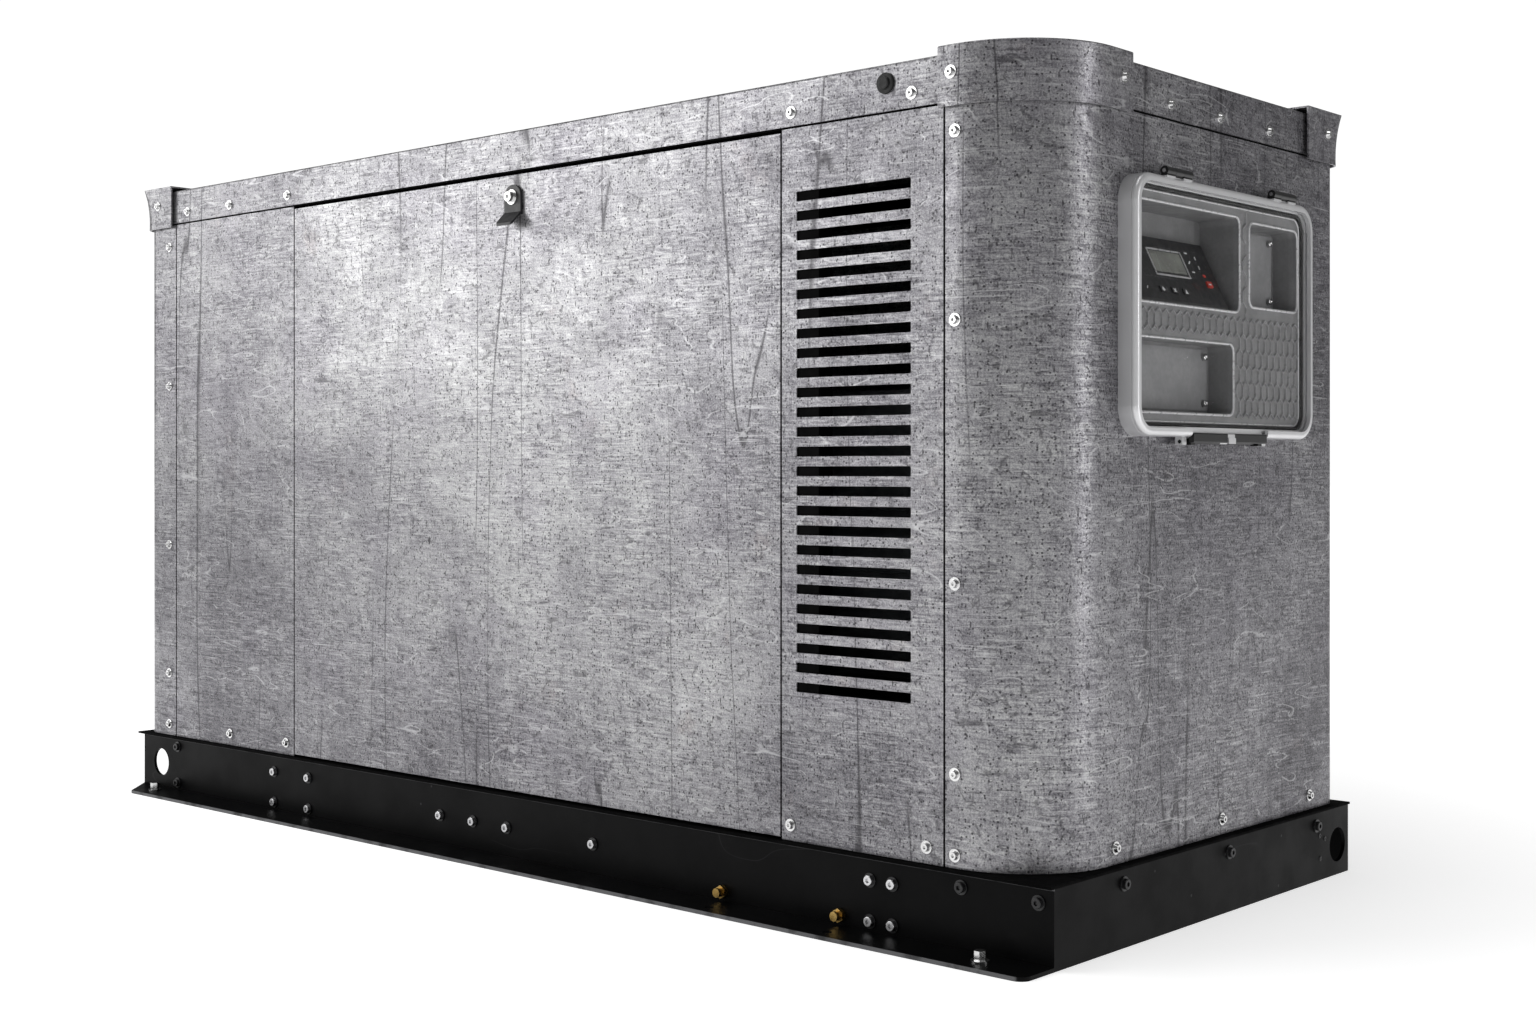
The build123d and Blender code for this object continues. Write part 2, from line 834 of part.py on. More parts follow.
with BuildPart() as large_roof_cap:
    cap_x = corner_x + corner_leg - large_cap_front_leg
    cap_y = front_y + large_cap_end_leg
    outside = front_y - cap_stand_off - 1
    with BuildSketch(Plane.XY.offset(cap_bottom)) as cap_outline:
        add(footprint(cap_stand_off))
        with Locations(((cap_x + right_x + cap_stand_off + 1) / 2, (outside + cap_y) / 2)):
            Rectangle(right_x + cap_stand_off + 1 - cap_x, cap_y - outside, mode=Mode.INTERSECT)
    extrude(amount=cap_top - cap_bottom)
    fillet(large_roof_cap.faces().sort_by(Axis.Z)[-1].edges(), roof_edge_radius / 2)
    with BuildSketch(Plane.XY.offset(cap_bottom)):
        add(footprint(cap_stand_off - cap_wall))
    extrude(amount=cap_top - cap_bottom - cap_wall, mode=Mode.SUBTRACT)
    cap_spacers(large_cap_screws)
    pierce(large_cap_screws)
large_roof_cap.part.label = "large_roof_cap"
export_step(large_roof_cap.part, "parts/large_roof_cap.step")


def cap_section(side, left, shrink, height, radius):
    """A small cap seen from above: a rectangle with its outer corner rounded."""
    stand = cap_stand_off - shrink
    x_out = left_x - stand if left else right_x + stand
    x_in = left_x + small_cap_front_leg + shrink if left else right_x - small_cap_front_leg - shrink
    face_y = front_y if side < 0 else rear_y
    y_out = face_y + side * stand
    y_in = face_y - side * (small_cap_end_leg + shrink)
    with BuildSketch(Plane.XY.offset(height)) as section:
        with Locations(((x_out + x_in) / 2, (y_out + y_in) / 2)):
            Rectangle(abs(x_out - x_in), abs(y_out - y_in))
        fillet(section.vertices().sort_by_distance((x_out, y_out))[0], radius)
    return section.sketch


def small_cap(side, left):
    """A cap whose corner is round below and drawn out to a sharp corner at its top."""
    heights = (cap_bottom, cap_bottom + 0.6 * (cap_top - cap_bottom), cap_top)
    radii = (edge_radius + cap_stand_off, 0.8 * (edge_radius + cap_stand_off), small_cap_top_radius)
    loft([cap_section(side, left, 0, z, r) for z, r in zip(heights, radii)])
    inner = heights[0], heights[1], heights[2] - cap_wall
    loft(
        [cap_section(side, left, cap_wall, z, r - cap_wall) for z, r in zip(inner, radii)],
        mode=Mode.SUBTRACT,
    )


with BuildPart() as small_roof_caps:
    small_cap(-1, True)
    small_cap(1, True)
    small_cap(1, False)
    cap_spacers(small_cap_screws)
    pierce(small_cap_screws)
small_roof_caps.part.label = "small_roof_caps"
export_step(small_roof_caps.part, "parts/small_roof_caps.step")

# Access door: a pan that stands on the sill and leans out from the top
latch_x = (door_x[0] + door_x[1]) / 2 + latch_off_centre
latch_z = door_z[1] - latch_below_top
with BuildPart() as access_door:
    box(door_x[0], door_x[1], front_y, front_y + door_return, door_z[0], door_z[1])
    box(
        door_x[0] + sheet,
        door_x[1] - sheet,
        front_y + sheet,
        front_y + door_return,
        door_z[0] + sheet,
        door_z[1] - sheet,
        mode=Mode.SUBTRACT,
    )
    rod((latch_x, front_y - 1, latch_z), rear, latch_shaft_radius + 0.05, sheet + 2, mode=Mode.SUBTRACT)
access_door.part.label = "access_door"
export_step(access_door.part, "parts/access_door.step")

with BuildPart() as door_insulation:
    box(
        door_x[0] + insulation_margin,
        door_x[1] - insulation_margin,
        front_y + sheet,
        front_y + sheet + insulation_thickness,
        door_z[0] + insulation_margin,
        door_z[1] - insulation_drop,
    )
door_insulation.part.label = "door_insulation"
export_step(door_insulation.part, "parts/door_insulation.step")

# Latch lever: a plate with a thumb lip outside the door, its shaft and a cam inside
latch_face = front_y - 1.0
latch_plane = Plane.XZ.offset(-latch_face)
with BuildPart() as latch_lever:
    tongue = latch_height - latch_width / 2
    with BuildSketch(latch_plane):
        with Locations((latch_x, latch_z)):
            Circle(latch_width / 2)
        with Locations((latch_x, latch_z - tongue / 2)):
            Rectangle(latch_width, tongue)
    extrude(amount=latch_plate)
    lip_z = latch_z - tongue
    with BuildSketch(Plane.YZ.offset(latch_x - latch_width / 2)) as lip:
        with BuildLine():
            Polyline(
                (latch_face, lip_z),
                (latch_face, lip_z + latch_plate),
                (latch_face - latch_plate, lip_z + latch_plate),
                (latch_face - latch_plate - latch_lip, lip_z + latch_plate - latch_lip),
                (latch_face - latch_plate - latch_lip, lip_z - latch_lip),
                (latch_face - latch_plate, lip_z),
                close=True,
            )
        make_face()
    extrude(lip.sketch, amount=latch_width)
    lip_edges = latch_lever.edges().filter_by(Axis.Z).group_by(Axis.Y)[0]
    fillet(lip_edges, latch_plate)
    rod((latch_x, latch_face, latch_z), rear, latch_shaft_radius, sheet + 9.0)
    cam_y = front_y + sheet + 4.0
    box(
        latch_x - cam_width / 2,
        latch_x + cam_width / 2,
        cam_y,
        cam_y + latch_plate,
        latch_z,
        latch_z + cam_length,
    )
    rod((latch_x, latch_face - latch_plate - 1, latch_z), rear, screw_radius, 9.0, mode=Mode.SUBTRACT)
latch_lever.part.label = "latch_lever"
export_step(latch_lever.part, "parts/latch_lever.step")

with BuildPart() as latch_screw:
    latch_seat = (latch_x, latch_face - latch_plate, latch_z)
    rod(latch_seat, rear, screw_radius - 0.1, 6.0)
    rod(latch_seat, front, screw_washer_radius + 3.0, 2.0)
    rod((latch_x, latch_seat[1] - 2.0, latch_z), front, screw_head_radius + 2.0, latch_head_height)
    fillet(latch_screw.faces().sort_by(Axis.Y)[0].edges(), 1.0)
    socket_y = latch_seat[1] - 2.0 - latch_head_height
    rod((latch_x, socket_y - 1.0, latch_z), rear, socket_radius + 0.6, socket_depth + 2.0, mode=Mode.SUBTRACT)
latch_screw.part.label = "latch_screw"
export_step(latch_screw.part, "parts/latch_screw.step")

# Control window: a collar on the end panel, the plate with its pockets and a clear cover
collar_front = right_x + collar_height
plate_front = collar_front - plate_set_back
cover_back = collar_front + cover_gap
cover_front = cover_back + cover_thickness
hinge_x = cover_back + cover_thickness / 2
hinge_z = window_centre_z + window_height / 2 + hinge_height
window_bottom = window_centre_z - window_height / 2
hinge_ys = tuple(window_centre_y + offset_y for offset_y in hinge_from_centre)
latch_axis = (collar_front - 5.0, window_bottom - 6.0)

with BuildPart() as window_collar:
    ring_face = window_outline(Plane.YZ.offset(right_x), 0, window_radius)
    extrude(ring_face, amount=collar_height)
    fillet(window_collar.faces().sort_by(Axis.X)[-1].edges(), cover_gap)
    opening_face = window_outline(Plane.YZ.offset(right_x), -collar_wall, window_radius - collar_wall)
    extrude(opening_face, amount=collar_height, mode=Mode.SUBTRACT)
    for y in hinge_ys:
        rod((hinge_x, y - hinge_knuckle / 2, hinge_z), rear, hinge_radius, hinge_knuckle)
        box(
            collar_front - 12.0,
            hinge_x,
            y - hinge_knuckle / 2,
            y + hinge_knuckle / 2,
            hinge_z - hinge_height - 1.0,
            hinge_z + 2.0,
        )
        rod((hinge_x, y - 40.0, hinge_z), rear, hinge_pin_radius, 80.0, mode=Mode.SUBTRACT)
    for side in (-1, 1):
        ear_y = window_centre_y + side * (latch_bar_length / 2 + 8.0)
        box(
            latch_axis[0] - 6.0,
            latch_axis[0] + 4.0,
            ear_y - 5.0,
            ear_y + 5.0,
            latch_axis[1] - 4.0,
            window_bottom + 2.0,
        )
    rod(
        (latch_axis[0], window_centre_y - latch_bar_length, latch_axis[1]),
        rear,
        2.5,
        2 * latch_bar_length,
        mode=Mode.SUBTRACT,
    )
window_collar.part.label = "window_collar"
export_step(window_collar.part, "parts/window_collar.step")

# Pockets of the instrument plate: low and high Y, low and high Z, depth
controller_pocket = (-198.0, 54.0, 776.0, 896.0, controller_pocket_depth)
upper_pocket = (84.0, 215.0, 785.0, 892.0, side_pocket_depth)
lower_pocket = (-196.0, 38.0, 642.0, 730.0, side_pocket_depth)


def pocket_block(pocket, grow, back_x, mode=Mode.ADD):
    """A pocket as a rounded block from the plate's front back to back_x."""
    y_from, y_to, z_from, z_to, _ = pocket
    with BuildSketch(Plane.YZ.offset(back_x)) as mouth:
        with Locations(((y_from + y_to) / 2, (z_from + z_to) / 2)):
            RectangleRounded(y_to - y_from + 2 * grow, z_to - z_from + 2 * grow, pocket_radius + grow)
    extrude(mouth.sketch, amount=plate_front - back_x, mode=mode)


with BuildPart() as instrument_plate:
    plate_grow = -collar_wall - plate_clearance
    plate_radius = window_radius - collar_wall - plate_clearance
    plate_back = plate_front - plate_thickness
    plate_face = window_outline(Plane.YZ.offset(plate_back), plate_grow, plate_radius)
    extrude(plate_face, amount=plate_thickness)
    for pocket in (controller_pocket, upper_pocket, lower_pocket):
        pocket_block(pocket, pocket_wall, plate_front - pocket[4] - pocket_wall)
    for pocket in (controller_pocket, upper_pocket, lower_pocket):
        pocket_block(pocket, 0, plate_front - pocket[4], mode=Mode.SUBTRACT)
instrument_plate.part.label = "instrument_plate"
export_step(instrument_plate.part, "parts/instrument_plate.step")

# Blank covers screwed to the backs of the two side pockets
with BuildPart() as pocket_covers:
    for pocket in (upper_pocket, lower_pocket):
        y_from, y_to, z_from, z_to, depth = pocket
        back_x = plate_front - depth
        box(
            back_x,
            back_x + pocket_cover_thickness,
            y_from + pocket_radius,
            y_to - pocket_radius,
            z_from + pocket_radius / 2,
            z_to - pocket_radius / 2,
        )
        for z in (z_from + 14.0, z_to - 14.0):
            head = (back_x + pocket_cover_thickness, y_to - 2 * pocket_radius, z)
            rod(head, control_end, 5.0, 1.5)
            rod((head[0] + 1.5, head[1], z), control_end, 3.4, 2.5)
pocket_covers.part.label = "pocket_covers"
export_step(pocket_covers.part, "parts/pocket_covers.step")

# Controller: a wedge on the pocket's floor, its face leaning back towards the top
controller_y = (
    controller_pocket[0] + pocket_radius + 1.0,
    controller_pocket[0] + pocket_radius + 1.0 + controller_width,
)
controller_back = plate_front - controller_pocket_depth
controller_toe = plate_front - 1.5
controller_floor = controller_pocket[2]
face_length = math.hypot(controller_face_drop, controller_face_rise)
toe_height = 3.0
face_plane = Plane(
    origin=(controller_toe, controller_y[0], controller_floor + toe_height),
    x_dir=(0, 1, 0),
    z_dir=(controller_face_rise, 0, controller_face_drop),
)
display_place = (controller_width / 2, 0.62 * face_length)
key_row = 0.17 * face_length
menu_key_places = tuple((controller_width / 2 + step, key_row) for step in (-44.0, -16.0, 12.0))
stop_key_place = (controller_width - 25.0, 0.34 * face_length)


def key_block(place, grow, below, above, mode=Mode.ADD):
    """A block on the controller's face, from below the face to above it."""
    with BuildSketch(face_plane.offset(-below)) as key:
        with Locations(place):
            RectangleRounded(key_width + 2 * grow, key_height + 2 * grow, 1.5 + grow)
    extrude(key.sketch, amount=below + above, mode=mode)


with BuildPart() as controller_case:
    with BuildSketch(Plane.XZ.offset(-controller_y[0])):
        with BuildLine():
            Polyline(
                (controller_back, controller_floor),
                (controller_toe, controller_floor),
                (controller_toe, controller_floor + toe_height),
                (
                    controller_toe - controller_face_drop,
                    controller_floor + toe_height + controller_face_rise,
                ),
                (controller_back, controller_floor + toe_height + controller_face_rise),
                close=True,
            )
        make_face()
    extrude(amount=-controller_width)
    for place in menu_key_places + (stop_key_place,):
        key_block(place, key_clearance, key_body + key_travel, 1.0, mode=Mode.SUBTRACT)
    with BuildSketch(face_plane.offset(-display_thickness)) as display_recess:
        with Locations(display_place):
            Rectangle(display_width, display_height)
    extrude(display_recess.sketch, amount=display_thickness, mode=Mode.SUBTRACT)
controller_case.part.label = "controller_case"
export_step(controller_case.part, "parts/controller_case.step")

with BuildPart() as display_lens:
    with BuildSketch(face_plane.offset(-display_thickness)):
        with Locations(display_place):
            Rectangle(display_width, display_height)
    extrude(amount=display_thickness)
display_lens.part.label = "display_lens"
export_step(display_lens.part, "parts/display_lens.step")

for number, place in enumerate(menu_key_places, start=1):
    with BuildPart() as menu_key:
        key_block(place, 0, key_body - key_clearance, key_proud)
    menu_key.part.label = f"menu_key_{number}"
    export_step(menu_key.part, f"parts/menu_key_{number}.step")

with BuildPart() as stop_key:
    key_block(stop_key_place, 0, key_body - key_clearance, key_proud)
stop_key.part.label = "stop_key"
export_step(stop_key.part, "parts/stop_key.step")

# Clear cover: a rim with a rebate behind it that holds the pane, hung on two hinges at its top
with BuildPart() as cover_frame:
    rim_face = window_outline(Plane.YZ.offset(cover_back), 0, window_radius)
    extrude(rim_face, amount=cover_thickness)
    fillet(cover_frame.faces().sort_by(Axis.X)[-1].edges(), cover_edge_radius)
    view_face = window_outline(Plane.YZ.offset(cover_back), -cover_rim, window_radius - cover_rim)
    extrude(view_face, amount=cover_thickness, mode=Mode.SUBTRACT)
    rebate = -cover_rim + pane_bearing
    rebate_face = window_outline(Plane.YZ.offset(cover_back), rebate, window_radius + rebate)
    extrude(rebate_face, amount=pane_thickness, mode=Mode.SUBTRACT)
    box(
        cover_back,
        cover_front,
        window_centre_y - latch_bar_length / 2 - 3.0,
        window_centre_y + latch_bar_length / 2 + 3.0,
        window_bottom,
        window_bottom + cover_rim,
        mode=Mode.SUBTRACT,
    )
    for y in hinge_ys:
        for start in (-1.5 * hinge_knuckle - hinge_side_clearance, hinge_knuckle / 2 + hinge_side_clearance):
            rod((hinge_x, y + start, hinge_z), rear, hinge_radius, hinge_knuckle)
            box(
                cover_back,
                cover_front,
                y + start,
                y + start + hinge_knuckle,
                hinge_z - hinge_height - 2.0,
                hinge_z,
            )
        box(
            cover_back - 1,
            cover_front + 1,
            y - hinge_knuckle / 2 - hinge_side_clearance,
            y + hinge_knuckle / 2 + hinge_side_clearance,
            hinge_z - hinge_height - 2.0,
            hinge_z + hinge_height,
            mode=Mode.SUBTRACT,
        )
        bore_radius = hinge_pin_radius + hinge_running_clearance
        rod((hinge_x, y - 40.0, hinge_z), rear, bore_radius, 80.0, mode=Mode.SUBTRACT)
cover_frame.part.label = "cover_frame"
export_step(cover_frame.part, "parts/cover_frame.step")

with BuildPart() as cover_pane:
    pane_face = window_outline(Plane.YZ.offset(cover_back), rebate, window_radius + rebate)
    extrude(pane_face, amount=pane_thickness)
cover_pane.part.label = "cover_pane"
export_step(cover_pane.part, "parts/cover_pane.step")

with BuildPart() as cover_hinge_pins:
    for y in hinge_ys:
        pin_length = 3 * hinge_knuckle + 2 * hinge_side_clearance + 2.0
        rod((hinge_x, y - pin_length / 2, hinge_z), rear, hinge_pin_radius, pin_length)
cover_hinge_pins.part.label = "cover_hinge_pins"
export_step(cover_hinge_pins.part, "parts/cover_hinge_pins.step")

# Window latch: a bar across the gap in the cover's bottom rim that flips down on its own pin
with BuildPart() as window_latch:
    bar_back = cover_back + 0.5
    bar_bottom = window_bottom + latch_bar_overlap - latch_bar_height
    box(
        bar_back,
        bar_back + latch_bar_thickness,
        window_centre_y - latch_bar_length / 2,
        window_centre_y + latch_bar_length / 2,
        bar_bottom,
        bar_bottom + latch_bar_height,
    )
    fillet(window_latch.edges().filter_by(Axis.Y).group_by(Axis.X)[-1], 1.5)
    for side in (-1, 1):
        arm_y = window_centre_y + side * (latch_bar_length / 2 - 8.0)
        box(
            latch_axis[0] - 4.0,
            bar_back + 1.0,
            arm_y - 5.0,
            arm_y + 5.0,
            latch_axis[1] - 4.0,
            latch_axis[1] + 4.0,
        )
    pin_start = (latch_axis[0], window_centre_y - latch_bar_length / 2 - 12.5, latch_axis[1])
    rod(pin_start, rear, 2.5 - hinge_running_clearance, latch_bar_length + 25.0)
    clip_front = bar_back + latch_bar_thickness
    box(
        clip_front,
        clip_front + 1.5,
        window_centre_y - 9.0,
        window_centre_y + 9.0,
        window_bottom - 8.0,
        window_bottom - 0.5,
    )
window_latch.part.label = "window_latch"
export_step(window_latch.part, "parts/window_latch.step")

# Fasteners: one screw and one bolt, each repeated at its places
with BuildPart() as button_screw:
    with BuildSketch():
        Circle(screw_radius)
    extrude(amount=-screw_grip)
    with BuildSketch():
        Circle(screw_washer_radius)
    extrude(amount=screw_washer_height)
    with BuildSketch(Plane.XY.offset(screw_washer_height)):
        Circle(screw_head_radius)
    extrude(amount=screw_head_height, taper=16)
    with BuildSketch(Plane.XY.offset(screw_washer_height + screw_head_height)):
        RegularPolygon(socket_radius, 6)
    extrude(amount=-socket_depth, mode=Mode.SUBTRACT)

with BuildPart() as panel_screws:
    screw_seats = seats(all_panel_screws + all_band_screws)
    screw_seats += seats(large_cap_screws + small_cap_screws, lift=cap_stand_off)
    with Locations(*screw_seats):
        add(button_screw.part)
panel_screws.part.label = "panel_screws"
export_step(panel_screws.part, "parts/panel_screws.step")

with BuildPart() as socket_bolt:
    with BuildSketch():
        Circle(bolt_radius - 0.2)
    extrude(amount=-2 * rail_wall)
    with BuildSketch():
        Circle(bolt_washer_radius)
    extrude(amount=bolt_washer_height)
    with BuildSketch(Plane.XY.offset(bolt_washer_height)):
        Circle(bolt_head_radius)
    extrude(amount=bolt_head_height)
    fillet(socket_bolt.faces().sort_by(Axis.Z)[-1].edges(), 1.0)
    with BuildSketch(Plane.XY.offset(bolt_washer_height + bolt_head_height)):
        RegularPolygon(0.5 * bolt_head_radius, 6)
    extrude(amount=-0.5 * bolt_head_height, mode=Mode.SUBTRACT)

with BuildPart() as base_bolts:
    with Locations(*seats(bright_bolts)):
        add(socket_bolt.part)
base_bolts.part.label = "base_bolts"
export_step(base_bolts.part, "parts/base_bolts.step")

with BuildPart() as black_base_bolts:
    with Locations(*seats(black_bolts)):
        add(socket_bolt.part)
black_base_bolts.part.label = "black_base_bolts"
export_step(black_base_bolts.part, "parts/black_base_bolts.step")

with BuildPart() as anchor_bolts:
    for x in anchor_bolt_xs:
        for side in (-1, 1):
            foot = Vector(x, side * anchor_bolt_y, rail_wall)
            rod(foot, (0, 0, -1), anchor_bolt_radius, rail_wall - 0.5)
            rod(foot, (0, 0, 1), anchor_washer_radius, anchor_washer_height)
            head_z = rail_wall + anchor_washer_height
            with BuildSketch(Plane.XY.offset(head_z)) as hexagon:
                with Locations((x, side * anchor_bolt_y)):
                    RegularPolygon(anchor_head_radius, 6)
            extrude(hexagon.sketch, amount=anchor_head_height)
anchor_bolts.part.label = "anchor_bolts"
export_step(anchor_bolts.part, "parts/anchor_bolts.step")

# Brass drain fittings through the front web
with BuildPart() as drain_fittings:
    for x in drain_xs:
        drain = Vector(x, -half_depth, drain_height)
        rod(drain, rear, drain_radius - 0.2, rail_wall + 4.0)
        with BuildSketch(Plane(origin=drain, z_dir=front)) as nut:
            RegularPolygon(drain_radius + 3.0, 6)
        extrude(nut.sketch, amount=6.0)
        rod(drain + Vector(0, -6.0, 0), front, drain_radius, 8.0)
drain_fittings.part.label = "drain_fittings"
export_step(drain_fittings.part, "parts/drain_fittings.step")

# Engine, flywheel and alternator, all on one shaft line along X
shaft_y = mid_y
block_bottom = shaft_height - block_below_shaft
block_top = shaft_height + block_above_shaft
head_top = block_top + head_height
bell_end = block_right + bell_length
alternator_end = bell_end + alternator_length
bore_radius = journal_radius + journal_clearance
mount_xs = (engine_member[0] - 30.0, alternator_end - 70.0)
mount_half_spans = (200.0, 130.0)
spindle_radius = 15.0
spindle_length = 70.0


def shaft_rod(x_from, x_to, radius, mode=Mode.ADD):
    """A round bar on the shaft line."""
    rod((x_from, shaft_y, shaft_height), (1, 0, 0), radius, x_to - x_from, mode=mode)


with BuildPart() as engine_block:
    block_y_from = shaft_y - block_half_width
    block_y_to = shaft_y + block_half_width
    box(block_left, block_right, block_y_from, block_y_to, block_bottom, block_top)
    fillet(engine_block.edges().filter_by(Axis.X), 12.0)
    for number in range(4):
        rib_x = block_left + (number + 0.5) * (block_right - block_left) / 4
        for side in (-1, 1):
            rib_y = shaft_y + side * block_half_width
            box(
                rib_x - 45.0,
                rib_x + 45.0,
                min(rib_y, rib_y + side * 10.0),
                max(rib_y, rib_y + side * 10.0),
                shaft_height + 30.0,
                block_top - 20.0,
            )
    for side in (-1, 1):
        foot_y = shaft_y + side * mount_half_spans[0]
        wall_y = shaft_y + side * block_half_width
        leg_y = foot_y - side * 28.0
        foot_x = (mount_xs[0] - 45.0, mount_xs[0] + 45.0)
        foot_z = deck_top + mount_height
        box(*foot_x, foot_y - 40.0, foot_y + 40.0, foot_z, foot_z + 12.0)
        box(*foot_x, min(leg_y, leg_y - side * 12.0), max(leg_y, leg_y - side * 12.0), foot_z, shaft_height)
        box(*foot_x, min(wall_y, leg_y), max(wall_y, leg_y), shaft_height - 35.0, shaft_height)
    box(block_left - 12.0, block_left, shaft_y - 40.0, shaft_y + 40.0, block_top - 60.0, fan_height + 40.0)
    rod((block_left, shaft_y, fan_height), (-1, 0, 0), spindle_radius, spindle_length)
    shaft_rod(block_left + 35.0, block_right - 35.0, crankcase_radius, mode=Mode.SUBTRACT)
    shaft_rod(block_left, block_right, bore_radius, mode=Mode.SUBTRACT)
engine_block.part.label = "engine_block"
export_step(engine_block.part, "parts/engine_block.step")

with BuildPart() as cylinder_head:
    box(block_left, block_right, shaft_y - 95.0, shaft_y + 95.0, block_top, head_top)
    fillet(cylinder_head.edges().filter_by(Axis.Z), 15.0)
    for number in range(4):
        port_x = block_left + (number + 0.5) * (block_right - block_left) / 4
        rod((port_x, shaft_y + 94.0, block_top + 45.0), rear, 24.0, 34.0)
        rod((port_x, shaft_y - 94.0, block_top + 45.0), front, 24.0, 34.0)
    for side in (-1, 1):
        rod((block_left + 40.0, shaft_y + side * 128.0, block_top + 45.0), (1, 0, 0), 27.0, 480.0)
cylinder_head.part.label = "cylinder_head"
export_step(cylinder_head.part, "parts/cylinder_head.step")

with BuildPart() as valve_cover:
    valve_cover_top = head_top + valve_cover_height
    box(block_left + 15, block_right - 15, shaft_y - 75, shaft_y + 75, head_top, valve_cover_top)
    fillet(valve_cover.edges().filter_by(Axis.Z), 20.0)
    fillet(valve_cover.faces().sort_by(Axis.Z)[-1].edges(), 12.0)
    rod((block_left + 110.0, shaft_y, head_top + valve_cover_height), (0, 0, 1), 26.0, 22.0)
valve_cover.part.label = "valve_cover"
export_step(valve_cover.part, "parts/valve_cover.step")

with BuildPart() as oil_pan:
    pan_bottom = block_bottom - oil_pan_depth
    with BuildSketch(Plane.XY.offset(block_bottom)):
        with Locations(((block_left + block_right) / 2, shaft_y)):
            RectangleRounded(block_right - block_left - 20, 2 * block_half_width - 10, 20)
    with BuildSketch(Plane.XY.offset(pan_bottom)):
        with Locations(((block_left + block_right) / 2, shaft_y)):
            RectangleRounded(block_right - block_left - 90, 2 * block_half_width - 70, 20)
    loft()
oil_pan.part.label = "oil_pan"
export_step(oil_pan.part, "parts/oil_pan.step")

with BuildPart() as crankshaft:
    shaft_rod(block_left - pulley_from_block - pulley_width, block_right + 20.0, journal_radius)
    for number in range(5):
        web_x = block_left + 60.0 + number * 100.0
        shaft_rod(web_x, web_x + 26.0, web_radius)
crankshaft.part.label = "crankshaft"
export_step(crankshaft.part, "parts/crankshaft.step")

with BuildPart() as flywheel:
    shaft_rod(block_right + 20.0, block_right + 20.0 + flywheel_thickness, flywheel_radius)
    ring_x = block_right + 20.0 + flywheel_thickness
    shaft_rod(ring_x, ring_x + 10.0, 0.6 * flywheel_radius)
flywheel.part.label = "flywheel"
export_step(flywheel.part, "parts/flywheel.step")

with BuildPart() as bell_housing:
    with BuildSketch(Plane(origin=(block_right, shaft_y, shaft_height), z_dir=(1, 0, 0))):
        Circle(bell_radius)
    extrude(amount=bell_length)
    fillet(bell_housing.faces().sort_by(Axis.X)[0].edges(), 10.0)
    shaft_rod(block_right + bell_wall, bell_end, bell_radius - bell_wall, mode=Mode.SUBTRACT)
    shaft_rod(block_right - 1, bell_end, journal_radius + 6.0, mode=Mode.SUBTRACT)
bell_housing.part.label = "bell_housing"
export_step(bell_housing.part, "parts/bell_housing.step")

# Alternator: a ribbed housing with its windings, a closed end and a bearing bore
with BuildPart() as alternator_housing:
    shaft_rod(bell_end, alternator_end, alternator_radius)
    fillet(alternator_housing.faces().sort_by(Axis.X)[-1].edges(), 15.0)
    with BuildSketch(Plane(origin=(bell_end + 30.0, shaft_y, shaft_height), z_dir=(1, 0, 0))) as ribs:
        with PolarLocations(alternator_radius + 2.0, 24):
            Rectangle(12.0, 5.0)
    extrude(ribs.sketch, amount=alternator_length - 70.0)
    for side in (-1, 1):
        foot_y = shaft_y + side * 130.0
        box(
            alternator_end - 110.0,
            alternator_end - 30.0,
            foot_y - 40.0,
            foot_y + 40.0,
            deck_top + mount_height,
            shaft_height - 120.0,
        )
    box(
        bell_end + 70.0,
        alternator_end - 60.0,
        shaft_y - 120.0,
        shaft_y + 120.0,
        shaft_height + alternator_radius - 60.0,
        shaft_height + alternator_radius + 110.0,
    )
    stator_radius = alternator_radius - alternator_wall
    shaft_rod(bell_end, alternator_end - alternator_wall, stator_radius, mode=Mode.SUBTRACT)
    shaft_rod(bell_end, alternator_end + 1, bore_radius, mode=Mode.SUBTRACT)
alternator_housing.part.label = "alternator_housing"
export_step(alternator_housing.part, "parts/alternator_housing.step")

with BuildPart() as alternator_rotor:
    shaft_rod(ring_x + 10.0, alternator_end - 2.0, journal_radius)
    rotor_radius = alternator_radius - alternator_wall - air_gap
    shaft_rod(bell_end + 40.0, alternator_end - alternator_wall - 30.0, rotor_radius)
alternator_rotor.part.label = "alternator_rotor"
export_step(alternator_rotor.part, "parts/alternator_rotor.step")

# Rubber mounts under the engine's feet and the alternator's feet
with BuildPart() as engine_mounts:
    for x, half_span in zip(mount_xs, mount_half_spans):
        for side in (-1, 1):
            rod((x, shaft_y + side * half_span, deck_top), (0, 0, 1), 34.0, mount_height)
engine_mounts.part.label = "engine_mounts"
export_step(engine_mounts.part, "parts/engine_mounts.step")

# Belt drive: a crank pulley, the fan's own pulley and one belt round both
pulley_right = block_left - pulley_from_block
pulley_left = pulley_right - pulley_width
with BuildPart() as crank_pulley:
    shaft_rod(pulley_left, pulley_right, crank_pulley_radius)
    shaft_rod(pulley_left, pulley_right, journal_radius, mode=Mode.SUBTRACT)
crank_pulley.part.label = "crank_pulley"
export_step(crank_pulley.part, "parts/crank_pulley.step")


def belt_outline(grow):
    """The belt's outline round both pulleys, on a plane across X at the pulleys' left face."""
    with BuildSketch(Plane.YZ.offset(pulley_left + 3.0)) as loop:
        with Locations((shaft_y, shaft_height)):
            Circle(crank_pulley_radius + grow)
        with Locations((shaft_y, fan_height)):
            Circle(fan_pulley_radius + grow)
        make_hull()
    return loop.sketch


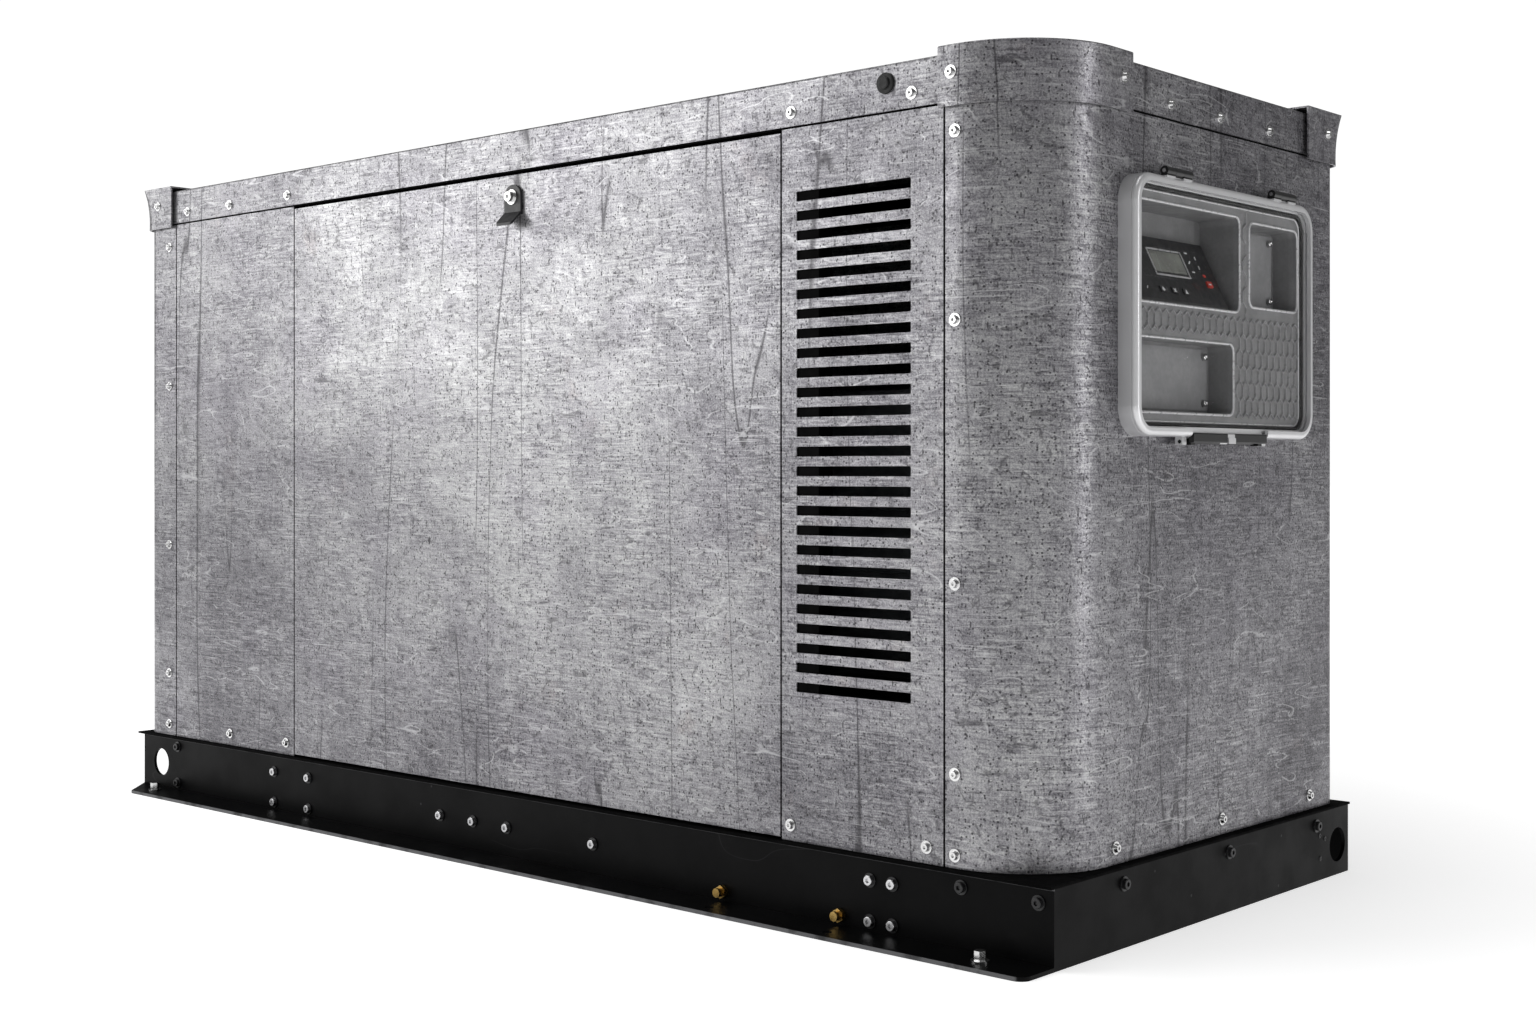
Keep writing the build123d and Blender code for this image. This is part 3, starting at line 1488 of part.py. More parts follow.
with BuildPart() as drive_belt:
    extrude(belt_outline(belt_clearance + belt_thickness), amount=pulley_width - 6.0)
    extrude(belt_outline(belt_clearance), amount=pulley_width - 6.0, mode=Mode.SUBTRACT)
drive_belt.part.label = "drive_belt"
export_step(drive_belt.part, "parts/drive_belt.step")

# Cooling fan: hub, pulley and pitched blades, on a fixed stub from the block
fan_left = radiator_x + radiator_thickness + 55.0
fan_span = 45.0
with BuildPart() as cooling_fan:
    rod((fan_left, shaft_y, fan_height), (1, 0, 0), fan_hub_radius, pulley_right - fan_left)
    rod((pulley_left, shaft_y, fan_height), (1, 0, 0), fan_pulley_radius, pulley_width)
    hub_centre = Plane(origin=(fan_left + fan_span / 2, shaft_y, fan_height), z_dir=(1, 0, 0))
    blade_length = fan_radius - fan_hub_radius + 6.0
    with Locations(hub_centre):
        with PolarLocations(fan_radius - blade_length / 2, fan_blades):
            Box(blade_length, 95.0, 4.0, rotation=(25, 0, 0))
    spindle_bore = spindle_radius + journal_clearance
    rod((block_left, shaft_y, fan_height), (-1, 0, 0), spindle_bore, spindle_length + 2.0, mode=Mode.SUBTRACT)
cooling_fan.part.label = "cooling_fan"
export_step(cooling_fan.part, "parts/cooling_fan.step")

# Radiator: two tanks, a core of tubes and fins, and side brackets down to the deck
with BuildPart() as radiator:
    x_from = radiator_x
    x_to = radiator_x + radiator_thickness
    y_from = shaft_y - radiator_width / 2
    y_to = shaft_y + radiator_width / 2
    z_top = deck_top + radiator_height
    box(x_from, x_to, y_from, y_to, deck_top, deck_top + 70.0)
    box(x_from, x_to, y_from, y_to, z_top - 70.0, z_top)
    fillet(radiator.edges().filter_by(Axis.Y).group_by(Axis.Z)[-1], 12.0)
    for side_y in (y_from, y_to - 12.0):
        box(x_from, x_to, side_y, side_y + 12.0, deck_top, z_top)
    box(x_from + 10.0, x_to - 10.0, y_from, y_to, deck_top, z_top - 10.0)
    fin_gap = 40.0
    fin_count = int((radiator_height - 160.0) / fin_gap)
    for number in range(fin_count):
        fin_z = deck_top + 85.0 + number * fin_gap
        box(x_from + 3.0, x_to - 3.0, y_from, y_to, fin_z, fin_z + 6.0)
    rod((radiator_x + radiator_thickness / 2, shaft_y + 120.0, z_top - 1.0), (0, 0, 1), 24.0, 22.0)
radiator.part.label = "radiator"
export_step(radiator.part, "parts/radiator.step")

# Exhaust: a muffler across the discharge bay and a pipe along the rear side of the engine
muffler_y = (mid_y - muffler_length / 2, mid_y + muffler_length / 2)
with BuildPart() as muffler:
    rod((muffler_x, muffler_y[0], muffler_height), rear, muffler_radius, muffler_length)
    fillet(muffler.edges().filter_by(GeomType.CIRCLE), 18.0)
    for y in (muffler_y[0] + 90.0, muffler_y[1] - 90.0):
        box(muffler_x - 15.0, muffler_x + 15.0, y - 15.0, y + 15.0, deck_top, muffler_height)
    tail_start = (muffler_x, mid_y - 120.0, muffler_height)
    rod(tail_start, (-1, 0, 0), exhaust_pipe_radius + 6.0, muffler_radius + 30.0)
muffler.part.label = "muffler"
export_step(muffler.part, "parts/muffler.step")

pipe_y = shaft_y + radiator_width / 2 + 45.0
with BuildPart() as exhaust_pipe:
    with BuildLine() as pipe_path:
        FilletPolyline(
            (block_left + 70.0, shaft_y + 155.0, block_top + 45.0),
            (block_left + 70.0, pipe_y, block_top + 45.0),
            (muffler_x, pipe_y, block_top + 45.0),
            (muffler_x, muffler_y[1], block_top + 45.0),
            radius=55.0,
        )
    with BuildSketch(Plane(origin=pipe_path.line @ 0, z_dir=pipe_path.line % 0)):
        Circle(exhaust_pipe_radius)
        Circle(exhaust_pipe_radius - exhaust_wall, mode=Mode.SUBTRACT)
    sweep()
exhaust_pipe.part.label = "exhaust_pipe"
export_step(exhaust_pipe.part, "parts/exhaust_pipe.step")

with BuildPart() as air_cleaner:
    cleaner_z = head_top + valve_cover_height + air_cleaner_radius + 12.0
    cleaner_x = block_right - air_cleaner_length - 60.0
    rod((cleaner_x, shaft_y, cleaner_z), (1, 0, 0), air_cleaner_radius, air_cleaner_length)
    fillet(air_cleaner.edges().filter_by(GeomType.CIRCLE), 8.0)
    rod((cleaner_x + 70.0, shaft_y, head_top + valve_cover_height), (0, 0, 1), 30.0, air_cleaner_radius)
air_cleaner.part.label = "air_cleaner"
export_step(air_cleaner.part, "parts/air_cleaner.step")

# Starting battery on the deck behind the front louvres
with BuildPart() as battery:
    battery_right = right_x - battery_from_control_end
    battery_front = front_y + sheet + battery_from_front
    box(
        battery_right - battery_size[0],
        battery_right,
        battery_front,
        battery_front + battery_size[1],
        deck_top,
        deck_top + battery_size[2],
    )
    fillet(battery.edges().filter_by(Axis.Z), 4.0)
    for x in (battery_right - battery_size[0] + 35.0, battery_right - 35.0):
        rod((x, battery_front + 35.0, deck_top + battery_size[2]), (0, 0, 1), 9.0, 16.0)
battery.part.label = "battery"
export_step(battery.part, "parts/battery.step")
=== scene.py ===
import json
import math

import bmesh
import bpy
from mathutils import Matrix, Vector


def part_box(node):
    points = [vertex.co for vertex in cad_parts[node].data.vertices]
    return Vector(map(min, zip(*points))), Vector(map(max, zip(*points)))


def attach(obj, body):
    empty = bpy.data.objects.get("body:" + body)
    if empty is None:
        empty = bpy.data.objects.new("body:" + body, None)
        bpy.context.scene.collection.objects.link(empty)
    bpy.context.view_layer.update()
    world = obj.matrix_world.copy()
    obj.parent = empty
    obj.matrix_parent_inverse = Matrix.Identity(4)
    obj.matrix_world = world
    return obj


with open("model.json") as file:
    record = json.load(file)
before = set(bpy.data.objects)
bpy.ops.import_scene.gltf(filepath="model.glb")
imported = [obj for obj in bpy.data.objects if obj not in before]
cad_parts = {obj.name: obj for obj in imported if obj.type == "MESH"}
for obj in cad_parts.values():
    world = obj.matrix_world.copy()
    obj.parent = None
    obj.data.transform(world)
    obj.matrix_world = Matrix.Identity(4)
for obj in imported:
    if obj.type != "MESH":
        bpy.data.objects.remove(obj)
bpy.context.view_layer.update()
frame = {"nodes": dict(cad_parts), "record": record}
MM = 0.001


# ---------------------------------------------------------------- node helpers
class Shader:
    """A material's node tree with short calls for the nodes used here."""

    def __init__(self, name):
        self.material = bpy.data.materials.new(name)
        self.material.use_nodes = True
        self.tree = self.material.node_tree
        self.bsdf = self.tree.nodes["Principled BSDF"]
        self.place = self.tree.nodes.new("ShaderNodeTexCoord").outputs["Object"]

    def node(self, kind, **values):
        made = self.tree.nodes.new(kind)
        for key, value in values.items():
            setattr(made, key, value)
        return made

    def link(self, source, target):
        self.tree.links.new(source, target)

    def put(self, socket, value):
        if isinstance(value, bpy.types.NodeSocket):
            self.link(value, socket)
        else:
            socket.default_value = value

    def moved(self, scale=(1, 1, 1), turn=(0, 0, 0), shift=(0, 0, 0)):
        mapping = self.node("ShaderNodeMapping")
        self.link(self.place, mapping.inputs["Vector"])
        mapping.inputs["Scale"].default_value = scale
        mapping.inputs["Rotation"].default_value = turn
        mapping.inputs["Location"].default_value = shift
        return mapping.outputs["Vector"]

    def noise(self, scale, detail=3.0, rough=0.5, at=None, distort=0.0):
        made = self.node("ShaderNodeTexNoise")
        self.link(at or self.place, made.inputs["Vector"])
        made.inputs["Scale"].default_value = scale
        made.inputs["Detail"].default_value = detail
        made.inputs["Roughness"].default_value = rough
        made.inputs["Distortion"].default_value = distort
        return made.outputs["Fac"]

    def ramp(self, value, low, high, to_low=0.0, to_high=1.0, smooth=True):
        made = self.node("ShaderNodeMapRange")
        made.interpolation_type = "SMOOTHSTEP" if smooth else "LINEAR"
        self.link(value, made.inputs["Value"])
        made.inputs["From Min"].default_value = low
        made.inputs["From Max"].default_value = high
        made.inputs["To Min"].default_value = to_low
        made.inputs["To Max"].default_value = to_high
        return made.outputs["Result"]

    def math(self, operation, first, second=0.0):
        made = self.node("ShaderNodeMath", operation=operation)
        self.put(made.inputs[0], first)
        self.put(made.inputs[1], second)
        return made.outputs[0]

    def mix(self, share, first, second, blend="MIX"):
        made = self.node("ShaderNodeMix", data_type="RGBA", blend_type=blend)
        self.put(made.inputs[0], share)
        for socket, value in ((made.inputs[6], first), (made.inputs[7], second)):
            self.put(socket, value if isinstance(value, bpy.types.NodeSocket) else (*value, 1.0))
        return made.outputs[2]

    def colours(self, value, stops):
        made = self.node("ShaderNodeValToRGB")
        ramp = made.color_ramp
        while len(ramp.elements) < len(stops):
            ramp.elements.new(0.5)
        for element, (position, colour) in zip(ramp.elements, stops):
            element.position = position
            element.color = (*colour, 1.0)
        self.link(value, made.inputs["Fac"])
        return made.outputs["Color"]

    def lines(self, scale, width, at, gate_scale, gate, distort=0.6):
        """Hair-thin wandering lines: the places where a smooth noise crosses its middle."""
        field = self.noise(scale, 1.0, 0.4, at, distort)
        off = self.math("ABSOLUTE", self.math("SUBTRACT", field, 0.5))
        line = self.ramp(off, 0.0, width, 1.0, 0.0)
        opened = self.ramp(self.noise(gate_scale, 2.0, 0.5, at), gate, gate + 0.05)
        return self.math("MULTIPLY", line, opened)

    def specks(self, scale, size, share, at=None):
        """Small round spots in a share of the cells of a Voronoi pattern."""
        cells = self.node("ShaderNodeTexVoronoi")
        self.link(at or self.place, cells.inputs["Vector"])
        cells.inputs["Scale"].default_value = scale
        picked = self.node("ShaderNodeSeparateColor")
        self.link(cells.outputs["Color"], picked.inputs["Color"])
        chosen = self.ramp(picked.outputs["Red"], share, share + 0.01, 1.0, 0.0)
        spot = self.ramp(cells.outputs["Distance"], size * 0.6, size, 1.0, 0.0)
        return self.math("MULTIPLY", chosen, spot)

    def blotch(self, centre, size):
        """A soft round area, 1 at its centre and 0 outside its size."""
        shift = tuple(-c / s for c, s in zip(centre, size))
        at = self.moved(tuple(1 / s for s in size), (0, 0, 0), shift)
        length = self.node("ShaderNodeVectorMath", operation="LENGTH")
        self.link(at, length.inputs[0])
        return self.ramp(length.outputs["Value"], 0.15, 1.0, 1.0, 0.0)

    def bump(self, height, strength, distance):
        made = self.node("ShaderNodeBump")
        made.inputs["Strength"].default_value = strength
        made.inputs["Distance"].default_value = distance
        self.link(height, made.inputs["Height"])
        self.link(made.outputs["Normal"], self.bsdf.inputs["Normal"])

    def surface(self, colour=None, metallic=None, rough=None, specular=None, coat=None):
        sockets = self.bsdf.inputs
        if colour is not None:
            linked = isinstance(colour, bpy.types.NodeSocket)
            self.put(sockets["Base Color"], colour if linked else (*colour, 1.0))
        if metallic is not None:
            sockets["Metallic"].default_value = metallic
        if rough is not None:
            self.put(sockets["Roughness"], rough)
        if specular is not None:
            sockets["Specular IOR Level"].default_value = specular
        if coat is not None:
            sockets["Coat Weight"].default_value = coat
        return self.material


# Painted light (+) and painted shade (-) on the sheet, brighter in the middle of the door and darker on the
# end faces: centre, half size and how much
PAINTED_LIGHT_AREAS = (
    ((0.00, -0.38, 0.62), (0.62, 0.4, 0.50), 0.16),
    ((-0.30, -0.38, 0.80), (0.34, 0.4, 0.26), 0.06),
    ((0.66, -0.38, 0.17), (0.26, 0.3, 0.19), -0.16),
    ((0.72, -0.38, 0.97), (0.30, 0.3, 0.10), -0.08),
    ((0.96, 0.20, 0.24), (0.30, 0.26, 0.24), -0.12),
    ((-0.10, -0.38, 0.14), (0.65, 0.3, 0.20), -0.10),
    ((-0.72, -0.38, 0.30), (0.30, 0.3, 0.40), -0.08),
    ((1.05, 0.10, 0.55), (0.17, 0.9, 1.2), -0.26),
    ((1.00, 0.40, 0.50), (0.30, 0.16, 1.0), -0.10),
    ((0.30, -0.38, 0.25), (0.30, 0.3, 0.16), 0.08),
)


def aged_sheet():
    """Grey sheet metal with a cloudy, finely streaked and scratched finish, with painted light and shade in
    broad areas and on the sides of small dents.
    """
    s = Shader("aged_sheet")

    def level(along, across, shift=(0.0, 0.0, 0.0)):
        """Places for marks that run level: long along X and Y, thin along Z."""
        return s.moved((along, along, across), (0.0, 0.0, 0.0), shift)

    def relief(scale, step, shift, stretch=(1.0, 1.0, 1.0)):
        """Lit and shaded sides of small dents: a noise less the same noise a step away."""
        near = s.noise(scale, 3.0, 0.65, s.moved(stretch, shift=shift), 0.5)
        far = s.noise(scale, 3.0, 0.65, s.moved(stretch, shift=tuple(v + step for v in shift)), 0.5)
        return s.math("ADD", s.math("SUBTRACT", near, far), 0.5)

    cloud = s.noise(2.0, 4.0, 0.5, distort=0.4)
    patch = s.noise(7.5, 4.0, 0.55, distort=0.6)
    brushed = s.noise(1.0, 4.0, 0.6, level(3.2, 26.0))
    smear = s.noise(1.0, 4.0, 0.6, s.moved((30.0, 30.0, 5.0), shift=(3.0, 5.0, 1.0)))
    mottle = s.noise(46.0, 4.0, 0.7)
    grain = s.noise(430.0, 2.0, 0.8)
    streak = s.noise(1.0, 3.0, 0.7, level(24.0, 360.0))
    weave = s.noise(1.0, 3.0, 0.7, s.moved((360.0, 360.0, 24.0)))
    streaked = s.ramp(s.noise(9.0, 3.0, 0.6, s.moved(shift=(7.0, 2.0, 5.0))), 0.35, 0.65, 0.35, 1.0)
    woven = s.ramp(s.noise(8.0, 3.0, 0.6, s.moved(shift=(1.0, 9.0, 6.0))), 0.38, 0.66, 0.1, 0.8)
    dented = s.ramp(s.noise(11.0, 3.0, 0.6, s.moved(shift=(2.0, 6.0, 4.0))), 0.36, 0.62, 0.4, 1.0)

    tone = 0.50
    layers = (
        (cloud, 0.44), (patch, 0.30), (brushed, 0.22), (smear, 0.18), (mottle, 0.12), (grain, 1.00),
        (streak, s.math("MULTIPLY", streaked, 1.20)), (weave, s.math("MULTIPLY", woven, 0.60)),
        (relief(95.0, 0.0011, (4.0, 4.0, 4.0)), s.math("MULTIPLY", dented, 0.75)),
        (relief(42.0, 0.0016, (8.0, 2.0, 3.0), (0.45, 0.45, 1.4)), 0.7),
    )
    for value, share in layers:
        tone = s.math("ADD", tone, s.math("MULTIPLY", s.math("SUBTRACT", value, 0.5), share))
    # Broad soft areas of painted light and painted shade, from the list above the function.
    for centre, size, share in PAINTED_LIGHT_AREAS:
        tone = s.math("ADD", tone, s.math("MULTIPLY", s.blotch(centre, size), share))
    colour = s.colours(tone, (
        (0.05, (0.050, 0.048, 0.054)),
        (0.30, (0.138, 0.134, 0.147)),
        (0.50, (0.252, 0.248, 0.262)),
        (0.70, (0.382, 0.381, 0.386)),
        (0.95, (0.560, 0.562, 0.560)),
    ))
    tint = s.ramp(s.noise(5.0, 3.0, 0.6, s.moved(shift=(3.0, 1.0, 7.0))), 0.48, 0.66, 0.0, 0.24)
    colour = s.mix(tint, colour, (0.86, 0.82, 0.90), "MULTIPLY")
    rust = s.ramp(s.noise(9.0, 4.0, 0.7, s.moved(shift=(9.0, 4.0, 2.0))), 0.62, 0.74, 0.0, 0.32)
    colour = s.mix(rust, colour, (0.82, 0.72, 0.68), "MULTIPLY")

    steep = s.moved((1.0, 1.0, 0.05), (0.0, 0.06, 0.0))
    lean = s.moved((1.0, 1.0, 0.07), (0.0, -0.16, 0.3), (5.0, 3.0, 1.0))
    long_marks = s.math("MAXIMUM", s.lines(13.0, 0.0085, steep, 9.0, 0.52, 0.0),
                        s.lines(15.0, 0.0095, lean, 11.0, 0.56, 0.0))
    worms = s.math("MAXIMUM", s.lines(60.0, 0.070, s.moved(shift=(1.0, 2.0, 3.0)), 75.0, 0.53, 1.2),
                   s.lines(44.0, 0.045, s.moved((0.4, 0.4, 1.2), shift=(6.0, 2.0, 9.0)), 60.0, 0.56, 0.8))
    dark = s.math("MAXIMUM", s.math("MULTIPLY", long_marks, 0.88), s.math("MULTIPLY", worms, 0.62))
    colour = s.mix(s.math("MULTIPLY", dark, 0.85), colour, (0.030, 0.028, 0.032))
    scored = s.ramp(s.noise(1.0, 2.0, 0.5, level(11.0, 330.0, (7.0, 1.0, 5.0))), 0.60, 0.70)
    groups = s.ramp(s.noise(8.0, 3.0, 0.6, s.moved((0.6, 0.6, 1.6), shift=(2.0, 8.0, 1.0))), 0.50, 0.62)
    light = s.math("MAXIMUM", s.math("MULTIPLY", scored, groups),
                   s.lines(26.0, 0.011, s.moved((0.30, 0.30, 1.3), shift=(4.0, 6.0, 8.0)), 30.0, 0.50, 0.25))
    colour = s.mix(s.math("MULTIPLY", light, 0.42), colour, (0.62, 0.62, 0.63))
    pits = s.math("MAXIMUM", s.specks(105.0, 0.20, 0.55), s.specks(210.0, 0.34, 0.30))
    ticks = s.specks(60.0, 0.13, 0.60, s.moved((1.6, 1.6, 0.45), (0.12, 0.12, 0.0), (3.0, 7.0, 2.0)))
    pits = s.math("MAXIMUM", pits, s.math("MULTIPLY", ticks, 0.9))
    chips = s.specks(9.0, 0.040, 0.45, s.moved((1.3, 1.3, 0.55), (0.2, 0.1, 0.0)))
    marks = s.math("MAXIMUM", pits, chips)
    colour = s.mix(s.math("MULTIPLY", marks, 0.86), colour, (0.032, 0.030, 0.034))

    rough = s.ramp(s.noise(20.0, 4.0, 0.6), 0.3, 0.7, 0.30, 0.44)
    height = s.math("ADD", s.math("MULTIPLY", grain, 0.6), s.math("MULTIPLY", streak, 0.4))
    height = s.math("SUBTRACT", height, s.math("MULTIPLY", s.math("MAXIMUM", dark, marks), 1.2))
    s.bump(height, 0.14, 0.001)
    return s.surface(colour, 0.70, rough, 0.4)


# Where a highlight is painted on the black coat, along the flange rim and the rail tops: from and to, in
# metres from the middle plane or above the floor
FLANGE_HIGHLIGHT = (0.4355, 0.4368)
RAIL_SKIN_HIGHLIGHT = (0.3735, 0.3745)
RAIL_TOP_HIGHLIGHT_START = (0.0912, 0.0932)
RAIL_TOP_HIGHLIGHT_END = (0.0968, 0.0975)


def powder_black():
    """Satin black powder coat with dust and rubbed spots, and a painted highlight along the flange rim and
    the rail tops.
    """
    s = Shader("powder_black")
    dust = s.ramp(s.noise(5.0, 5.0, 0.65), 0.42, 0.75)
    scuff = s.lines(9.0, 0.006, s.moved((0.4, 0.4, 1.3), (0.0, 0.1, 0.0)), 5.0, 0.56)
    colour = s.mix(dust, (0.0016, 0.0016, 0.0018), (0.0036, 0.0035, 0.0038))
    colour = s.mix(s.math("MULTIPLY", scuff, 0.22), colour, (0.045, 0.045, 0.047))
    colour = s.mix(s.math("MULTIPLY", s.specks(40.0, 0.09, 0.05), 0.5), colour, (0.06, 0.06, 0.062))
    axes = s.node("ShaderNodeSeparateXYZ")
    s.link(s.place, axes.inputs[0])
    out = s.math("ABSOLUTE", axes.outputs["Y"])
    flange = s.ramp(out, *FLANGE_HIGHLIGHT)
    top = s.math("MULTIPLY", s.ramp(axes.outputs["Z"], *RAIL_TOP_HIGHLIGHT_START),
                 s.ramp(axes.outputs["Z"], *RAIL_TOP_HIGHLIGHT_END, 1.0, 0.0))
    skin = s.ramp(out, *RAIL_SKIN_HIGHLIGHT)
    # Painted highlight: a lighter grey band along the flange rim and the rail tops, broken up by noise.
    edge_highlight = s.math("MAXIMUM", flange, s.math("MULTIPLY", top, skin))
    edge_highlight = s.math("MULTIPLY", edge_highlight, s.ramp(s.noise(30.0, 3.0, 0.6), 0.3, 0.55, 0.35, 1.0))
    colour = s.mix(s.math("MULTIPLY", edge_highlight, 0.85), colour, (0.15, 0.15, 0.155))
    s.bump(s.noise(520.0, 2.0, 0.5), 0.12, 0.0006)
    rough = s.ramp(s.noise(14.0, 4.0, 0.6), 0.3, 0.7, 0.34, 0.48)
    return s.surface(colour, 0.0, rough, 0.07)


def split_finish(name, near, far, axis, low, high, metallic, rough, absolute=False, centre=0.0):
    """Two colours on one part: near below the low mark on an axis, far above the high mark."""
    s = Shader(name)
    axes = s.node("ShaderNodeSeparateXYZ")
    s.link(s.place, axes.inputs[0])
    value = s.math("SUBTRACT", axes.outputs[axis], centre)
    if absolute:
        value = s.math("ABSOLUTE", value)
    share = s.ramp(value, low, high)
    fine = s.ramp(s.noise(16.0, 2.0, 0.5), 0.3, 0.7)
    first = s.mix(fine, near, tuple(0.93 * v for v in near))
    second = s.mix(fine, far, tuple(0.86 * v for v in far))
    s.bump(s.noise(60.0, 1.0, 0.4), 0.01, 0.0001)
    metal = s.ramp(value, low, high, metallic[0], metallic[1])
    s.link(metal, s.bsdf.inputs["Metallic"])
    return s.surface(s.mix(share, first, second), None, s.ramp(fine, 0.0, 1.0, rough[0], rough[1]), 0.4)


def plain(name, low, high, metallic=0.0, rough=(0.35, 0.5), scale=18.0, grain=(400.0, 0.1), specular=0.5,
          stretch=(1, 1, 1), spots=None, coat=None):
    """A finish with two close tones, an uneven gloss and a fine surface grain."""
    s = Shader(name)
    at = s.moved(stretch)
    share = s.ramp(s.noise(scale, 5.0, 0.6, at), 0.3, 0.7)
    colour = s.mix(share, low, high)
    fine = s.ramp(s.noise(scale * 9.0, 3.0, 0.6, at), 0.35, 0.7, 0.0, 0.25)
    colour = s.mix(fine, colour, tuple(0.72 * c for c in low))
    if spots is not None:
        tone, density, amount = spots
        colour = s.mix(s.math("MULTIPLY", s.specks(density, 0.16, 0.18), amount), colour, tone)
    s.bump(s.noise(grain[0], 2.0, 0.5, at), grain[1], 0.0008)
    uneven = s.ramp(s.noise(scale * 2.3, 4.0, 0.6), 0.3, 0.7, rough[0], rough[1])
    return s.surface(colour, metallic, uneven, specular, coat)


def clear_sheet():
    """Clear polycarbonate with faint wear."""
    s = Shader("clear_pane")
    haze = s.ramp(s.noise(30.0, 4.0, 0.6), 0.35, 0.75, 0.02, 0.06)
    s.bsdf.inputs["Transmission Weight"].default_value = 1.0
    s.bsdf.inputs["IOR"].default_value = 1.1
    s.bsdf.inputs["Alpha"].default_value = 0.05
    return s.surface((0.97, 0.98, 0.98), 0.0, haze, 0.2)


def display_glass():
    """A grey-green liquid crystal display behind a glossy lens."""
    s = Shader("display_glass")
    share = s.ramp(s.noise(28.0, 2.0, 0.5), 0.3, 0.7)
    colour = s.mix(share, (0.135, 0.140, 0.125), (0.205, 0.212, 0.190))
    s.bump(s.noise(900.0, 1.0, 0.5), 0.03, 0.0004)
    return s.surface(colour, 0.0, s.ramp(s.noise(60.0, 3.0, 0.5), 0.3, 0.7, 0.10, 0.2), 0.5)


def exhaust_finish():
    """Aluminised steel with heat-brown areas."""
    s = Shader("exhaust_finish")
    heat = s.ramp(s.noise(6.0, 4.0, 0.6, distort=0.6), 0.42, 0.66)
    colour = s.mix(heat, (0.42, 0.41, 0.40), (0.26, 0.19, 0.14))
    colour = s.mix(s.ramp(s.noise(60.0, 3.0, 0.6), 0.4, 0.75, 0.0, 0.4), colour, (0.14, 0.11, 0.09))
    s.bump(s.noise(240.0, 3.0, 0.6), 0.15, 0.0008)
    return s.surface(colour, 0.85, s.ramp(s.noise(25.0, 3.0, 0.5), 0.3, 0.7, 0.38, 0.6), 0.5)


FINISH = {
    "sheet_metal": aged_sheet(),
    "black_steel": powder_black(),
    "stainless": plain("stainless_bright", (0.62, 0.62, 0.62), (0.78, 0.78, 0.78), 1.0, (0.14, 0.24), 60.0,
                       (900.0, 0.06)),
    "black_bolt": plain("black_oxide", (0.008, 0.008, 0.009), (0.022, 0.022, 0.023), 0.2, (0.28, 0.42), 80.0,
                        (700.0, 0.12)),
    "brass": plain("dull_brass", (0.42, 0.27, 0.08), (0.66, 0.45, 0.16), 1.0, (0.24, 0.42), 90.0,
                   (600.0, 0.12)),
    "black_rubber": plain("black_rubber", (0.008, 0.008, 0.008), (0.018, 0.018, 0.018), 0.0, (0.5, 0.68),
                          40.0, (700.0, 0.25), 0.35),
    "foam": plain("acoustic_foam", (0.020, 0.020, 0.022), (0.045, 0.045, 0.048), 0.0, (0.85, 0.95), 30.0,
                  (260.0, 0.9), 0.2),
    "black_plastic": plain("black_plastic", (0.010, 0.010, 0.011), (0.020, 0.020, 0.021), 0.0, (0.34, 0.48),
                           50.0, (620.0, 0.22), 0.4),
    "silver_frame": plain("silver_satin", (0.46, 0.46, 0.47), (0.60, 0.60, 0.61), 0.55, (0.26, 0.36), 34.0,
                          (800.0, 0.05)),
    "grey_plastic": plain("grey_moulded", (0.105, 0.105, 0.108), (0.150, 0.150, 0.153), 0.0, (0.36, 0.5),
                          26.0, (520.0, 0.22), 0.45),
    "display": display_glass(),
    "key_grey": plain("key_black", (0.012, 0.012, 0.013), (0.022, 0.022, 0.023), 0.0, (0.3, 0.42), 90.0,
                      (700.0, 0.15)),
    "key_red": plain("key_red", (0.36, 0.022, 0.014), (0.50, 0.045, 0.028), 0.0, (0.3, 0.42), 90.0,
                     (700.0, 0.12)),
    "clear_pane": clear_sheet(),
    "cast_metal": plain("cast_grey", (0.055, 0.060, 0.066), (0.110, 0.116, 0.124), 0.1, (0.45, 0.62), 14.0,
                        (300.0, 0.6), 0.45, spots=((0.02, 0.02, 0.02), 60.0, 0.5)),
    "cast_alloy": plain("cast_alloy", (0.36, 0.36, 0.37), (0.52, 0.52, 0.53), 0.8, (0.42, 0.58), 20.0,
                        (340.0, 0.45), spots=((0.16, 0.15, 0.14), 70.0, 0.5)),
    "rotor_steel": plain("rotor_steel", (0.26, 0.26, 0.27), (0.42, 0.42, 0.43), 0.95, (0.3, 0.45), 30.0,
                         (500.0, 0.12), stretch=(14.0, 1.0, 1.0)),
    "radiator_black": plain("radiator_black", (0.014, 0.014, 0.015), (0.036, 0.036, 0.037), 0.3, (0.42, 0.6),
                            24.0, (420.0, 0.25), spots=((0.09, 0.085, 0.08), 50.0, 0.4)),
    "exhaust_steel": exhaust_finish(),
}

for part in frame["record"]["subparts"]:
    shape = frame["nodes"][part["node"]]
    finish = FINISH[part["material_slot"]]
    if not shape.material_slots:
        shape.data.materials.append(finish)
    for place in shape.material_slots:
        place.material = finish

